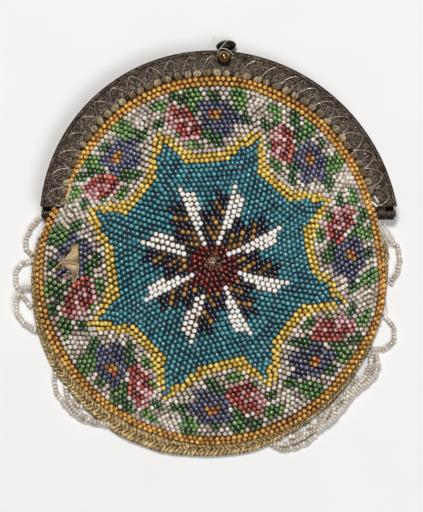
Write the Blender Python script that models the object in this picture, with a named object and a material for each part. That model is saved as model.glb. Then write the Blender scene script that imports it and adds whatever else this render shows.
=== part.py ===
"""A bead-knitted purse on a hinged half-moon frame, closed and lying on its back.

Lengths are metres and +Z is up. The origin lies on the resting surface, under the middle of
the beaded star. +Y points from the bag to the clasp, and the hinge axis runs along X.
"""

import math

import bmesh
import bpy
from mathutils import Vector

MM = 0.001

# Fits
CLEARANCE = 0.3 * MM
OVERRUN = 1.0 * MM

# Bag: its mean radius, which the frame's arc and its hinges follow
BAG_RADIUS = 58.0 * MM

# Frame band: an oval arc, slightly out of round, cut straight at the hinges
FRAME_LONG_RADIUS = BAG_RADIUS * 1.031
FRAME_SHORT_RADIUS = BAG_RADIUS * 0.988
FRAME_LEAN_DEG = 132.6
FRAME_CENTRE = BAG_RADIUS * Vector((0.043, 0.1655, 0))
FRAME_STEPS = 56
BAND_WIDTH = 7.4 * MM
HALF_DEPTH = 4.6 * MM
PLATE_THICKNESS = 0.9 * MM
RIM_THICKNESS = 1.0 * MM
BORDER_WIDTH = 1.1 * MM
BORDER_HEIGHT = 0.25 * MM
EDGE_CHAMFER = 0.35 * MM

# Sewing holes along the band's inner edge
HOLE_RADIUS = 0.45 * MM
HOLE_EDGE_DISTANCE = 1.1 * MM
HOLE_COUNT = 44
HOLE_SIDES = 6

# Hinges
HINGE_Y = BAG_RADIUS * 0.2655
KNUCKLE_RADIUS = 2.0 * MM
KNUCKLE_WIDTH = 2.4 * MM
KNUCKLE_INSET = 0.9 * MM
EAR_LENGTH = 2.2 * MM
EAR_STEP = 0.2 * MM
PIN_RADIUS = 0.7 * MM
PIN_HEAD_RADIUS = 1.3 * MM
PIN_HEAD_THICKNESS = 0.5 * MM
KNUCKLE_SIDES = 24
PIN_SIDES = 16

# Clasp knobs
KNOB_SIDES = 16
KNOB_SHANK_RADIUS = 0.5 * MM
KNOB_TAIL_RADIUS = 0.95 * MM
KNOB_TAIL_THICKNESS = 0.5 * MM
FRONT_KNOB_X = 3.9 * MM
FRONT_KNOB_EDGE_DISTANCE = 3.0 * MM
COLLAR_RADIUS = 2.1 * MM
COLLAR_HEIGHT = 1.1 * MM
NECK_RADIUS = 1.1 * MM
BALL_RADIUS = 1.85 * MM
BALL_LEAN = 0.9 * MM
REAR_KNOB_X = 4.6 * MM
REAR_NECK_RADIUS = 0.9 * MM
REAR_BUTTON_HALF_WIDTH = 3.3 * MM
REAR_BUTTON_HALF_LENGTH = 1.5 * MM
REAR_BUTTON_HALF_HEIGHT = 2.0 * MM
REAR_BUTTON_TIP = 0.6 * MM

# Bag's outline: distance from the star's middle to its edge, in equal turns anticlockwise from +X
BAG_RADIUS_shares = (
    0.97, 0.965, 1.03, 1.06, 1.07, 1.05, 1.0, 0.93,
    0.985, 1.015, 1.015, 1.02, 1.03, 1.02, 1.0, 0.985,
)
BAG_STEPS = 96
PANEL_THICKNESS = 1.8 * MM
# How far in from the edge the front is rounded down, in equal turns anticlockwise from +X
BAG_ROUNDING = 22.0 * MM
BAG_ROUNDING_shares = (
    0.45, 0.4, 0.4, 0.4, 0.4, 0.4, 0.4, 0.4,
    0.45, 0.7, 0.9, 1.0, 1.0, 1.0, 0.9, 0.7,
)
ROUNDING_STEPS = 6
FRONT_BELOW_FACE = 0.1 * MM
FOLD_REACH = 6.0 * MM
FOLD_INSET = 2.0 * MM

# Lining
LINING_THICKNESS = 0.4 * MM
LINING_INSET = 4.5 * MM

# Gold braid along the lower edge, from the left hinge round the bottom to the right hinge
BRAID_WIDTH = 3.5 * MM
BRAID_HEIGHT = 2.0 * MM
BRAID_FROM_DEG = 172
BRAID_TO_DEG = 366
BRAID_WIDTH_shares = (0.3, 0.42, 0.8, 1.0, 0.75, 0.7, 0.5, 0.3, 0.28)
BRAID_STEPS = 60
BRAID_SIDES = 6

# Fringe: loops of small beads that lie round the lower edge
STRAND_RADIUS = 0.7 * MM
STRAND_SIDES = 6
STRAND_POINTS = 16
FRINGE_REACH = 6.0 * MM
FRINGE_LEVEL = 1.8 * MM
# For each loop: its name, the level it lies at, and points as directions in degrees with
# shares of FRINGE_REACH beyond the braid
FRINGE_LOOPS = (
    ("fringe_loop_left_1", 0, ((164, 0.0), (170, 0.4), (175, 0.4), (178, 0.0))),
    ("fringe_loop_left_2", 0, ((180, 0.0), (182, 0.6), (186, 0.7), (190, 0.4), (194, 0.0))),
    ("fringe_loop_left_3", 1, ((188, 0.0), (189, 0.5), (194, 0.8), (199, 0.4), (201, 0.0))),
    ("fringe_loop_low_left_1", 0, ((216, 0.0), (219, 0.45), (226, 0.6), (232, 0.35), (237, 0.0))),
    ("fringe_loop_low_left_2", 0, ((221, 0.0), (224, 0.2), (227, 0.15), (229, 0.0))),
    ("fringe_loop_low_right_4", 0, ((287, 0.0), (291, 0.3), (297, 0.55), (303, 0.5), (305, 0.0))),
    ("fringe_loop_low_right_3", 1, ((294, 0.0), (298, 0.2), (303, 0.5), (308, 0.4), (310, 0.0))),
    ("fringe_loop_low_right_2", 0, ((307, 0.0), (309, 0.4), (313, 0.4), (317, 0.3), (319, 0.0))),
    ("fringe_loop_low_right_1", 1, ((311, 0.0), (315, 0.2), (320, 0.5), (324, 0.5), (326, 0.0))),
    ("fringe_loop_right_2", 0, ((331, 0.0), (334, 0.7), (338, 0.8), (341, 0.4), (342, 0.0))),
    ("fringe_loop_right_1", 0, ((353, 0.0), (358, 0.4), (364, 0.4), (367, 0.0))),
)


def hinge_z():
    """Height of the hinge axis, halfway between the two faces of the closed frame."""
    return HALF_DEPTH + CLEARANCE / 2


def closed_depth():
    """Thickness of the closed frame from face to face."""
    return 2 * HALF_DEPTH + CLEARANCE


def frame_end_y():
    """The straight ends of both halves stand just clear of the knuckles they turn past."""
    return HINGE_Y + KNUCKLE_RADIUS + CLEARANCE


def front_height():
    """Top of the beaded front, just under the face of the frame."""
    return closed_depth() - FRONT_BELOW_FACE


def unit(degrees):
    """The direction at an angle anticlockwise from +X."""
    turn = math.radians(degrees)
    return Vector((math.cos(turn), math.sin(turn), 0))


def spaced(low, high, steps):
    """Evenly spaced values from low to high, both included."""
    return [low + (high - low) * i / steps for i in range(steps + 1)]


def smooth_value(values, place, closed=False):
    """A smooth curve through evenly spaced values, read at a place counted in values."""
    count = len(values)
    i = math.floor(place)
    t = place - i

    def at(k):
        return values[k % count] if closed else values[min(max(k, 0), count - 1)]

    a, b, c, d = at(i - 1), at(i), at(i + 1), at(i + 2)
    return b + t * (c - a + t * (2 * a - 5 * b + 4 * c - d + t * (3 * b - a - 3 * c + d))) / 2


def material(name, colour, roughness, metallic):
    made = bpy.data.materials.new(name)
    made.use_nodes = True
    shader = made.node_tree.nodes["Principled BSDF"]
    shader.inputs["Base Color"].default_value = (*colour, 1)
    shader.inputs["Roughness"].default_value = roughness
    shader.inputs["Metallic"].default_value = metallic
    return made


def dark_metal(name):
    return material(name, (0.07, 0.055, 0.045), 0.5, 1.0)


def bead_fabric(name):
    return material(name, (0.05, 0.16, 0.24), 0.35, 0.0)


def brass(name):
    return material(name, (0.35, 0.2, 0.06), 0.35, 1.0)


def gold_thread(name):
    return material(name, (0.4, 0.25, 0.08), 0.5, 0.6)


def silk(name):
    return material(name, (0.45, 0.3, 0.15), 0.9, 0.0)


def glass_beads(name):
    return material(name, (0.6, 0.55, 0.48), 0.25, 0.0)


def place(name, bm, finish, smooth=False):
    """Turn a bmesh into a named object with its own material."""
    bmesh.ops.recalc_face_normals(bm, faces=bm.faces)
    mesh = bpy.data.meshes.new(name)
    bm.to_mesh(mesh)
    bm.free()
    if smooth:
        mesh.shade_smooth()
        mesh.set_sharp_from_angle(angle=math.radians(35))
    made = bpy.data.objects.new(name, mesh)
    bpy.context.scene.collection.objects.link(made)
    if finish:
        mesh.materials.append(finish(name))
    return made


def guide(made):
    """Mark a cutter as a guide, so that it isn't part of the model."""
    made.hide_render = True
    made.display_type = "WIRE"
    return made


def combine(made, other, operation):
    """Cut one object by another, or join or trim it."""
    modifier = made.modifiers.new(other.name, "BOOLEAN")
    modifier.operation = operation
    modifier.object = other
    return made


def ring_solid(bm, rings, closed=False):
    """Faces between rings of equally many points, with flat ends unless the rings close."""
    rows = [[bm.verts.new(point) for point in ring] for ring in rings]
    pairs = list(zip(rows, rows[1:]))
    if closed:
        pairs.append((rows[-1], rows[0]))
    for low, high in pairs:
        for i in range(len(low)):
            j = (i + 1) % len(low)
            bm.faces.new((low[i], low[j], high[j], high[i]))
    if not closed:
        bm.faces.new(rows[0])
        bm.faces.new(rows[-1])
    return bm


def prism(bm, outline, shift):
    """A closed outline of points extruded by a shift."""
    return ring_solid(bm, [outline, [point + shift for point in outline]])


def oval_ring(centre, along, across, sides):
    """Points round an oval that two half axes span."""
    turns = [2 * math.pi * i / sides for i in range(sides)]
    return [centre + along * math.cos(t) + across * math.sin(t) for t in turns]


def box(name, low, high):
    bm = bmesh.new()
    corners = [(low[0], low[1]), (high[0], low[1]), (high[0], high[1]), (low[0], high[1])]
    outline = [Vector((x, y, low[2])) for x, y in corners]
    prism(bm, outline, Vector((0, 0, high[2] - low[2])))
    return guide(place(name, bm, None))


def frame_point(share, inset):
    """A point on the frame's edge, set in by inset, at a share of the way from right to left."""
    lean = math.radians(FRAME_LEAN_DEG)
    long_radius = FRAME_LONG_RADIUS - inset
    short_radius = FRAME_SHORT_RADIUS - inset
    rise_long = long_radius * math.sin(lean)
    rise_short = short_radius * math.cos(lean)
    middle = math.atan2(rise_short, rise_long)
    end_height = frame_end_y() - FRAME_CENTRE.y
    swing = math.acos(end_height / math.hypot(rise_long, rise_short))
    turn = middle + swing * (2 * share - 1)
    long_part = long_radius * math.cos(turn)
    short_part = short_radius * math.sin(turn)
    x = long_part * math.cos(lean) - short_part * math.sin(lean)
    y = long_part * math.sin(lean) + short_part * math.cos(lean)
    return FRAME_CENTRE + Vector((x, y, 0))


def share_at_x(x, inset):
    """The share along the band at which the edge, set in by inset, passes over x."""
    low, high = 0.0, 1.0
    for _ in range(40):
        middle = (low + high) / 2
        if frame_point(middle, inset).x > x:
            low = middle
        else:
            high = middle
    return (low + high) / 2


def lift(point, height):
    return Vector((point.x, point.y, height))


def face_to_height(depth, front):
    """Height of what lies at a depth below the outer face of a half."""
    return closed_depth() - depth if front else depth


def band_section():
    """The band's section as distances from its outer edge and depths below its face."""
    field = BORDER_HEIGHT
    inside = field + PLATE_THICKNESS
    return (
        (0, EDGE_CHAMFER),
        (EDGE_CHAMFER, 0),
        (BORDER_WIDTH, 0),
        (BORDER_WIDTH + BORDER_HEIGHT, field),
        (BAND_WIDTH, field),
        (BAND_WIDTH, inside),
        (RIM_THICKNESS, inside),
        (RIM_THICKNESS, HALF_DEPTH),
        (0, HALF_DEPTH),
    )


def band_body(name, front):
    """One half's plate and turned rim, as its section swept from hinge to hinge."""
    bm = bmesh.new()
    rings = []
    for share in spaced(0, 1, FRAME_STEPS):
        section = band_section()
        ring = [lift(frame_point(share, d), face_to_height(z, front)) for d, z in section]
        rings.append(ring)
    ring_solid(bm, rings)
    return place(name, bm, dark_metal)


def knuckle_span(side, front):
    """Low and high x of a half's knuckle: the back's stand outside, the front's inside."""
    outer = KNUCKLE_INSET
    if front:
        outer += KNUCKLE_WIDTH + CLEARANCE
    end_x = frame_point(0 if side > 0 else 1, 0).x
    faces = (end_x - side * outer, end_x - side * (outer + KNUCKLE_WIDTH))
    return min(faces), max(faces)


def ear_outline(x, front):
    """Side view of a hinge ear: a round knuckle, a tongue and the block that joins the band."""
    sign = 1 if front else -1
    depth_step = EAR_STEP + CLEARANCE / 2
    band_end = frame_end_y()
    block_end = band_end + EAR_LENGTH
    face = hinge_z() - BORDER_HEIGHT - EDGE_CHAMFER
    last = 360 + math.degrees(math.asin(depth_step / KNUCKLE_RADIUS))
    points = [(block_end, depth_step), (block_end, face), (band_end, face)]
    points.append((band_end, KNUCKLE_RADIUS))
    for degrees in spaced(90, last, KNUCKLE_SIDES):
        spoke = unit(degrees) * KNUCKLE_RADIUS
        points.append((HINGE_Y + spoke.x, spoke.y))
    return [Vector((x, y, hinge_z() + sign * rise)) for y, rise in points]


def hinge_ear(name, side, front):
    low, high = knuckle_span(side, front)
    bm = bmesh.new()
    prism(bm, ear_outline(low, front), Vector((high - low, 0, 0)))
    return guide(place(name, bm, None))


def pin_bore(name, side):
    """Cutter for the pin's hole through both knuckles of one hinge."""
    low = min(knuckle_span(side, True)[0], knuckle_span(side, False)[0]) - OVERRUN
    high = max(knuckle_span(side, True)[1], knuckle_span(side, False)[1]) + OVERRUN
    radius = PIN_RADIUS + CLEARANCE
    centre = Vector((low, HINGE_Y, hinge_z()))
    ring = oval_ring(centre, Vector((0, radius, 0)), Vector((0, 0, radius)), PIN_SIDES)
    bm = bmesh.new()
    prism(bm, ring, Vector((high - low, 0, 0)))
    return guide(place(name, bm, None))


def sewing_hole_cutter(name, front):
    """A row of small holes along the inner edge of one half."""
    bm = bmesh.new()
    inset = BAND_WIDTH - HOLE_EDGE_DISTANCE
    deep = BORDER_HEIGHT + PLATE_THICKNESS + OVERRUN
    ends = face_to_height(-OVERRUN, front), face_to_height(deep, front)
    along, across = Vector((HOLE_RADIUS, 0, 0)), Vector((0, HOLE_RADIUS, 0))
    for i in range(HOLE_COUNT):
        centre = lift(frame_point((i + 0.5) / HOLE_COUNT, inset), ends[0])
        ring = oval_ring(centre, along, across, HOLE_SIDES)
        prism(bm, ring, Vector((0, 0, ends[1] - ends[0])))
    return guide(place(name, bm, None))


def front_knob_foot():
    """Where the front knob's axis passes the face, seen from above."""
    share = share_at_x(FRONT_KNOB_X, FRONT_KNOB_EDGE_DISTANCE)
    return frame_point(share, FRONT_KNOB_EDGE_DISTANCE)


def rear_knob_foot():
    """Where the rear knob's neck leaves the rim of the back half."""
    foot = frame_point(share_at_x(REAR_KNOB_X, 0), 0)
    return lift(foot, (BORDER_HEIGHT + PLATE_THICKNESS + HALF_DEPTH) / 2)


def front_knob_hole(name):
    radius = KNOB_SHANK_RADIUS + CLEARANCE
    low = face_to_height(BORDER_HEIGHT + PLATE_THICKNESS + OVERRUN, True)
    high = face_to_height(-OVERRUN, True)
    centre = lift(front_knob_foot(), low)
    ring = oval_ring(centre, Vector((radius, 0, 0)), Vector((0, radius, 0)), KNOB_SIDES)
    bm = bmesh.new()
    prism(bm, ring, Vector((0, 0, high - low)))
    return guide(place(name, bm, None))


def rear_knob_hole(name):
    radius = KNOB_SHANK_RADIUS + CLEARANCE
    centre = rear_knob_foot() + Vector((0, OVERRUN, 0))
    ring = oval_ring(centre, Vector((radius, 0, 0)), Vector((0, 0, radius)), KNOB_SIDES)
    bm = bmesh.new()
    prism(bm, ring, Vector((0, -RIM_THICKNESS - 2 * OVERRUN, 0)))
    return guide(place(name, bm, None))


def frame_half(name, front):
    """A half-moon band with its two hinge ears, pin bores, sewing holes and knob hole."""
    half = band_body(name, front)
    for side, word in ((1, "right"), (-1, "left")):
        combine(half, hinge_ear(f"{name}_ear_{word}", side, front), "UNION")
        combine(half, pin_bore(f"{name}_bore_{word}", side), "DIFFERENCE")
    combine(half, sewing_hole_cutter(f"{name}_sewing_holes", front), "DIFFERENCE")
    knob_hole = front_knob_hole if front else rear_knob_hole
    combine(half, knob_hole(f"{name}_knob_hole"), "DIFFERENCE")
    return half


def hinge_pin(name, side):
    """A plain pin with a peened head at each end."""
    low = min(knuckle_span(side, True)[0], knuckle_span(side, False)[0]) - CLEARANCE
    high = max(knuckle_span(side, True)[1], knuckle_span(side, False)[1]) + CLEARANCE
    profile = (
        (low - PIN_HEAD_THICKNESS, PIN_RADIUS),
        (low - PIN_HEAD_THICKNESS / 2, PIN_HEAD_RADIUS),
        (low, PIN_HEAD_RADIUS),
        (low, PIN_RADIUS),
        (high, PIN_RADIUS),
        (high, PIN_HEAD_RADIUS),
        (high + PIN_HEAD_THICKNESS / 2, PIN_HEAD_RADIUS),
        (high + PIN_HEAD_THICKNESS, PIN_RADIUS),
    )
    rings = []
    for x, radius in profile:
        centre = Vector((x, HINGE_Y, hinge_z()))
        rings.append(oval_ring(centre, Vector((0, radius, 0)), Vector((0, 0, radius)), PIN_SIDES))
    bm = bmesh.new()
    return place(name, ring_solid(bm, rings), dark_metal, smooth=True)


def front_clasp_knob(name):
    """A ball on a dark collar: its shank passes the plate and is riveted over inside."""
    inside = face_to_height(BORDER_HEIGHT + PLATE_THICKNESS, True) - CLEARANCE
    seat = closed_depth() + CLEARANCE
    collar_top = seat + COLLAR_HEIGHT
    ball_centre = collar_top + BALL_RADIUS
    profile = [
        (inside - KNOB_TAIL_THICKNESS, KNOB_SHANK_RADIUS, 0),
        (inside - KNOB_TAIL_THICKNESS / 2, KNOB_TAIL_RADIUS, 0),
        (inside, KNOB_TAIL_RADIUS, 0),
        (inside, KNOB_SHANK_RADIUS, 0),
        (seat, KNOB_SHANK_RADIUS, 0),
        (seat, COLLAR_RADIUS, 0),
        (seat + COLLAR_HEIGHT / 2, COLLAR_RADIUS, 0),
        (collar_top, NECK_RADIUS, BALL_LEAN / 2),
    ]
    for degrees in range(-45, 76, 20):
        spoke = unit(degrees) * BALL_RADIUS
        profile.append((ball_centre + spoke.y, spoke.x, BALL_LEAN))
    foot = front_knob_foot()
    rings = []
    for height, radius, lean in profile:
        centre = lift(foot, height) + Vector((0, lean, 0))
        rings.append(oval_ring(centre, Vector((radius, 0, 0)), Vector((0, radius, 0)), KNOB_SIDES))
    bm = bmesh.new()
    return place(name, ring_solid(bm, rings), brass, smooth=True)


def rear_clasp_knob(name):
    """An oval button on a neck that stands out of the back half's rim, riveted inside."""
    foot = rear_knob_foot()
    inside = -RIM_THICKNESS - CLEARANCE
    button_centre = CLEARANCE + REAR_BUTTON_TIP + REAR_BUTTON_HALF_LENGTH
    profile = [
        (inside - KNOB_TAIL_THICKNESS, KNOB_SHANK_RADIUS, KNOB_SHANK_RADIUS),
        (inside - KNOB_TAIL_THICKNESS / 2, KNOB_TAIL_RADIUS, KNOB_TAIL_RADIUS),
        (inside, KNOB_TAIL_RADIUS, KNOB_TAIL_RADIUS),
        (inside, KNOB_SHANK_RADIUS, KNOB_SHANK_RADIUS),
        (CLEARANCE, KNOB_SHANK_RADIUS, KNOB_SHANK_RADIUS),
        (CLEARANCE, REAR_NECK_RADIUS, REAR_NECK_RADIUS),
    ]
    for degrees in range(-65, 76, 20):
        spoke = unit(degrees)
        out = button_centre + spoke.y * REAR_BUTTON_HALF_LENGTH
        half_width = spoke.x * REAR_BUTTON_HALF_WIDTH
        half_height = spoke.x * REAR_BUTTON_HALF_HEIGHT
        profile.append((out, half_width, half_height))
    rings = []
    for out, half_width, half_height in profile:
        centre = foot + Vector((0, out, 0))
        along, across = Vector((half_width, 0, 0)), Vector((0, 0, half_height))
        rings.append(oval_ring(centre, along, across, KNOB_SIDES))
    bm = bmesh.new()
    return place(name, ring_solid(bm, rings), dark_metal, smooth=True)


def bag_radius(degrees):
    """Distance from the star's middle to the bag's edge in one direction."""
    place_in_turn = degrees / 360 * len(BAG_RADIUS_shares)
    return BAG_RADIUS * smooth_value(BAG_RADIUS_shares, place_in_turn, closed=True)


def bag_rounding(degrees):
    """How far in from its edge the front is rounded down in one direction."""
    place_in_turn = degrees / 360 * len(BAG_ROUNDING_shares)
    return BAG_ROUNDING * smooth_value(BAG_ROUNDING_shares, place_in_turn, closed=True)


def rounded_ring(inset, share, height):
    """The bag's outline at one height, set in by inset and a share of the rounding left there."""
    ring = []
    for i in range(BAG_STEPS):
        degrees = 360 * i / BAG_STEPS
        out = inset + (bag_rounding(degrees) - inset) * share
        ring.append(lift(unit(degrees) * (bag_radius(degrees) - out), height))
    return ring


def bag_ring(inset, height):
    """The bag's outline, set in by inset, as points at one height."""
    directions = [360 * i / BAG_STEPS for i in range(BAG_STEPS)]
    return [lift(unit(d) * (bag_radius(d) - inset), height) for d in directions]


def bag_plate(name, inset, low, high, finish):
    """A flat sheet with the bag's outline."""
    bm = bmesh.new()
    prism(bm, bag_ring(inset, low), Vector((0, 0, high - low)))
    return place(name, bm, finish)


def bag_lid(name, inset, top, thickness, seam, finish):
    """A sheet with the bag's outline that is rounded down to the seam along its edge."""
    rings = []
    for degrees in reversed(spaced(0, 90, ROUNDING_STEPS)):
        spoke = unit(degrees)
        rings.append(rounded_ring(inset, 1 - spoke.x, seam + (top - seam) * spoke.y))
    for degrees in spaced(0, 90, ROUNDING_STEPS):
        spoke = unit(degrees)
        height = seam + (top - thickness - seam) * spoke.y
        rings.append(rounded_ring(inset + thickness, 1 - spoke.x, height))
    bm = bmesh.new()
    return place(name, ring_solid(bm, rings), finish)


def frame_room(name):
    """The closed frame's outline grown by the clearance: what the bag's pieces keep out of."""
    low, high = -OVERRUN, closed_depth() + OVERRUN
    far = BAG_RADIUS
    outer = []
    inner = []
    for share in spaced(0, 1, FRAME_STEPS):
        inner.append(lift(frame_point(share, BAND_WIDTH + CLEARANCE), low))
        outer.append(lift(frame_point(share, -far), low))
    drop = Vector((0, -CLEARANCE, 0))
    outline = [inner[0] + drop, *inner, inner[-1] + drop]
    outline += [outer[-1] + drop, *reversed(outer), outer[0] + drop]
    bm = bmesh.new()
    prism(bm, outline, Vector((0, 0, high - low)))
    return guide(place(name, bm, None))


def fold_limits():
    """Low and high y of the strip that folds as the front half turns about the hinge."""
    return HINGE_Y - FOLD_REACH, HINGE_Y + FOLD_REACH


def y_slab(name, low, high):
    """A guide that keeps what lies between two places along Y."""
    far = 2 * BAG_RADIUS
    return box(name, (-far, low, -far), (far, high, far))


def bag_panels(room):
    """The beaded back in one piece, and the front in three: fixed, folding and moving."""
    fold_low, fold_high = fold_limits()
    far = 2 * BAG_RADIUS
    top = front_height()
    under = top - PANEL_THICKNESS
    back = bag_plate("back_panel", 0, 0, PANEL_THICKNESS, bead_fabric)
    combine(back, room, "DIFFERENCE")
    seam = PANEL_THICKNESS + CLEARANCE
    lower = bag_lid("front_panel_lower", 0, top, PANEL_THICKNESS, seam, bead_fabric)
    combine(lower, y_slab("keep_lower_front", -far, fold_low), "INTERSECT")
    fold = bag_plate("front_panel_fold", FOLD_INSET, under, top, bead_fabric)
    combine(fold, y_slab("keep_fold", fold_low + CLEARANCE, fold_high), "INTERSECT")
    combine(fold, room, "DIFFERENCE")
    upper = bag_plate("front_panel_upper", 0, under, top, bead_fabric)
    combine(upper, y_slab("keep_upper_front", fold_high + CLEARANCE, far), "INTERSECT")
    combine(upper, room, "DIFFERENCE")


def lining_sheets(room):
    """The lining follows the panels from inside, with the open pouch between its sheets."""
    fold_low, fold_high = fold_limits()
    far = 2 * BAG_RADIUS
    low = PANEL_THICKNESS + CLEARANCE
    back = bag_plate("back_lining", LINING_INSET, low, low + LINING_THICKNESS, silk)
    combine(back, room, "DIFFERENCE")
    top = front_height() - PANEL_THICKNESS - CLEARANCE
    under = top - LINING_THICKNESS
    seam = low + LINING_THICKNESS + CLEARANCE
    lower = bag_lid("front_lining_lower", LINING_INSET, top, LINING_THICKNESS, seam, silk)
    combine(lower, y_slab("keep_lower_lining", -far, fold_low), "INTERSECT")
    fold = bag_plate("front_lining_fold", LINING_INSET, under, top, silk)
    combine(fold, y_slab("keep_lining_fold", fold_low + CLEARANCE, fold_high), "INTERSECT")
    combine(fold, room, "DIFFERENCE")
    upper = bag_plate("front_lining_upper", LINING_INSET, under, top, silk)
    combine(upper, y_slab("keep_upper_lining", fold_high + CLEARANCE, far), "INTERSECT")
    combine(upper, room, "DIFFERENCE")


def braid_width(degrees):
    share = (degrees - BRAID_FROM_DEG) / (BRAID_TO_DEG - BRAID_FROM_DEG)
    share = min(max(share, 0), 1)
    return BRAID_WIDTH * smooth_value(BRAID_WIDTH_shares, share * (len(BRAID_WIDTH_shares) - 1))


def edge_braid(name):
    """A flattened gold braid beside the bag's lower edge, widest at the lower left."""
    rings = []
    for degrees in spaced(BRAID_FROM_DEG, BRAID_TO_DEG, BRAID_STEPS):
        half_width = braid_width(degrees) / 2
        radius = bag_radius(degrees) + CLEARANCE + half_width
        centre = lift(unit(degrees) * radius, CLEARANCE + BRAID_HEIGHT / 2)
        along, across = unit(degrees) * half_width, Vector((0, 0, BRAID_HEIGHT / 2))
        rings.append(oval_ring(centre, along, across, BRAID_SIDES))
    bm = bmesh.new()
    return place(name, ring_solid(bm, rings), gold_thread, smooth=True)


def fringe_radius(degrees, share):
    """Distance from the star's middle to a strand, at a share of the fringe's reach."""
    inner = bag_radius(degrees) + 2 * CLEARANCE + braid_width(degrees) + STRAND_RADIUS
    return inner + FRINGE_REACH * share


def fringe_loop(name, level, points):
    """One string of beads, drawn as a tube along a smooth loop."""
    curve = bpy.data.curves.new(name, "CURVE")
    curve.dimensions = "3D"
    curve.bevel_depth = STRAND_RADIUS
    curve.bevel_resolution = 1
    curve.use_fill_caps = True
    spline = curve.splines.new("POLY")
    spline.points.add(STRAND_POINTS - 1)
    height = STRAND_RADIUS + CLEARANCE + FRINGE_LEVEL * level
    directions = [point[0] for point in points]
    reaches = [point[1] for point in points]
    for target, along in zip(spline.points, spaced(0, len(points) - 1, STRAND_POINTS - 1)):
        degrees = smooth_value(directions, along)
        radius = fringe_radius(degrees, smooth_value(reaches, along))
        target.co = (*lift(unit(degrees) * radius, height), 1)
    made = bpy.data.objects.new(name, curve)
    curve.materials.append(glass_beads(name))
    bpy.context.scene.collection.objects.link(made)
    return made


def build():
    for old in list(bpy.data.objects):
        bpy.data.objects.remove(old, do_unlink=True)
    frame_half("back_frame", front=False)
    frame_half("front_frame", front=True)
    hinge_pin("hinge_pin_right", 1)
    hinge_pin("hinge_pin_left", -1)
    front_clasp_knob("front_clasp_knob")
    rear_clasp_knob("rear_clasp_knob")
    room = frame_room("frame_room")
    bag_panels(room)
    lining_sheets(room)
    edge_braid("edge_braid")
    for name, level, points in FRINGE_LOOPS:
        fringe_loop(name, level, points)


build()
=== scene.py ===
import math

import bpy
import numpy as np
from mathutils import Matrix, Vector
from mathutils.kdtree import KDTree


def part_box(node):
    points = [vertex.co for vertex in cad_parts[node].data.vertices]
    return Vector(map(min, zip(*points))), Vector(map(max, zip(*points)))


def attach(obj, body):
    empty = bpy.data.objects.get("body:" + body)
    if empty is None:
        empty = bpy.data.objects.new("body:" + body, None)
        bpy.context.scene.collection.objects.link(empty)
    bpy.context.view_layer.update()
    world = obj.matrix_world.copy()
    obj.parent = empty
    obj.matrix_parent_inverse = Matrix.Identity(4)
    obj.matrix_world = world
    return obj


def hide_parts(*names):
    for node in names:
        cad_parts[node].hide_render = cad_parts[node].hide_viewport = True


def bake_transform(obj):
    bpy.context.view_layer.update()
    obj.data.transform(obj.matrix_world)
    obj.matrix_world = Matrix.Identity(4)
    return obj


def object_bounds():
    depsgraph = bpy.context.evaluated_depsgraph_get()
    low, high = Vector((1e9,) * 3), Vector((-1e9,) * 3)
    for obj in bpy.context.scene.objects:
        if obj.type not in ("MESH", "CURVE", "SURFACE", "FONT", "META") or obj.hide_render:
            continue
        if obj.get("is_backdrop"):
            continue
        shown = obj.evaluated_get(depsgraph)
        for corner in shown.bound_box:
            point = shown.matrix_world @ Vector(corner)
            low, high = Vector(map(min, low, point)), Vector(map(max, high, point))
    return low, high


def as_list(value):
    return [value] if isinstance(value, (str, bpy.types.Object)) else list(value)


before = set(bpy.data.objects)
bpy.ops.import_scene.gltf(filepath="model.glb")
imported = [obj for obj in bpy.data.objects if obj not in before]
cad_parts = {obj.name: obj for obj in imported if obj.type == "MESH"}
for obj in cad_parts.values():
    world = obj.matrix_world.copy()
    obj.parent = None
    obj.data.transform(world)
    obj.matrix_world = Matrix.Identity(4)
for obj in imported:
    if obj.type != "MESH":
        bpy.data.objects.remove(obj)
CAD_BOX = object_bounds()

MM = 0.001
RNG = np.random.default_rng(11)

# The camera looks straight down; one pixel of the photograph spans this much at the bag's front
PIXEL = 0.324 * MM
STAR_PX = (212, 261)
CAMERA_HEIGHT = 1.0
CAMERA_XY = (-0.16 * MM, 1.62 * MM)
FRONT_TOP = 9.4 * MM
PICTURE_PX = 512
SENSOR_MM = 36

# Sizes of the CAD part that the pieces follow
BAG_RADIUS = 58.0 * MM
# Radius and rounding of the edge in 16 directions, as shares
SHARE_STEP_DEG = 22.5
BAG_RADIUS_SHARES = (
    0.97, 0.965, 1.03, 1.06, 1.07, 1.05, 1.0, 0.93,
    0.985, 1.015, 1.015, 1.02, 1.03, 1.02, 1.0, 0.985,
)
BAG_ROUNDING = 22.0 * MM
BAG_ROUNDING_SHARES = (
    0.45, 0.4, 0.4, 0.4, 0.4, 0.4, 0.4, 0.4,
    0.45, 0.7, 0.9, 1.0, 1.0, 1.0, 0.9, 0.7,
)
FRAME_LONG_RADIUS = BAG_RADIUS * 1.031
FRAME_SHORT_RADIUS = BAG_RADIUS * 0.988
FRAME_LEAN = math.radians(132.6)
FRAME_CENTRE = np.array((0.043, 0.1655)) * BAG_RADIUS
HINGE_Y = BAG_RADIUS * 0.2655
FRAME_END_Y = HINGE_Y + 2.3 * MM
FRAME_LENGTH = 162 * MM
BAND_WIDTH = 7.4 * MM
BORDER_WIDTH = 1.1 * MM
FACE_Z = 9.5 * MM
FIELD_DROP = 0.25 * MM
HOLE_COUNT = 44
BRAID_WIDTH = 3.5 * MM
BRAID_HEIGHT = 2.0 * MM
PLAIT_PITCH = 7.0 * MM
BRAID_FROM_DEG = 172
BRAID_TO_DEG = 366
BRAID_WIDTH_SHARES = (0.3, 0.42, 0.8, 1.0, 0.75, 0.7, 0.5, 0.3, 0.28)
STRAND_RADIUS = 0.7 * MM
FRINGE_REACH = 6.0 * MM
FRINGE_LEVEL = 1.8 * MM
CLEARANCE = 0.3 * MM
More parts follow.
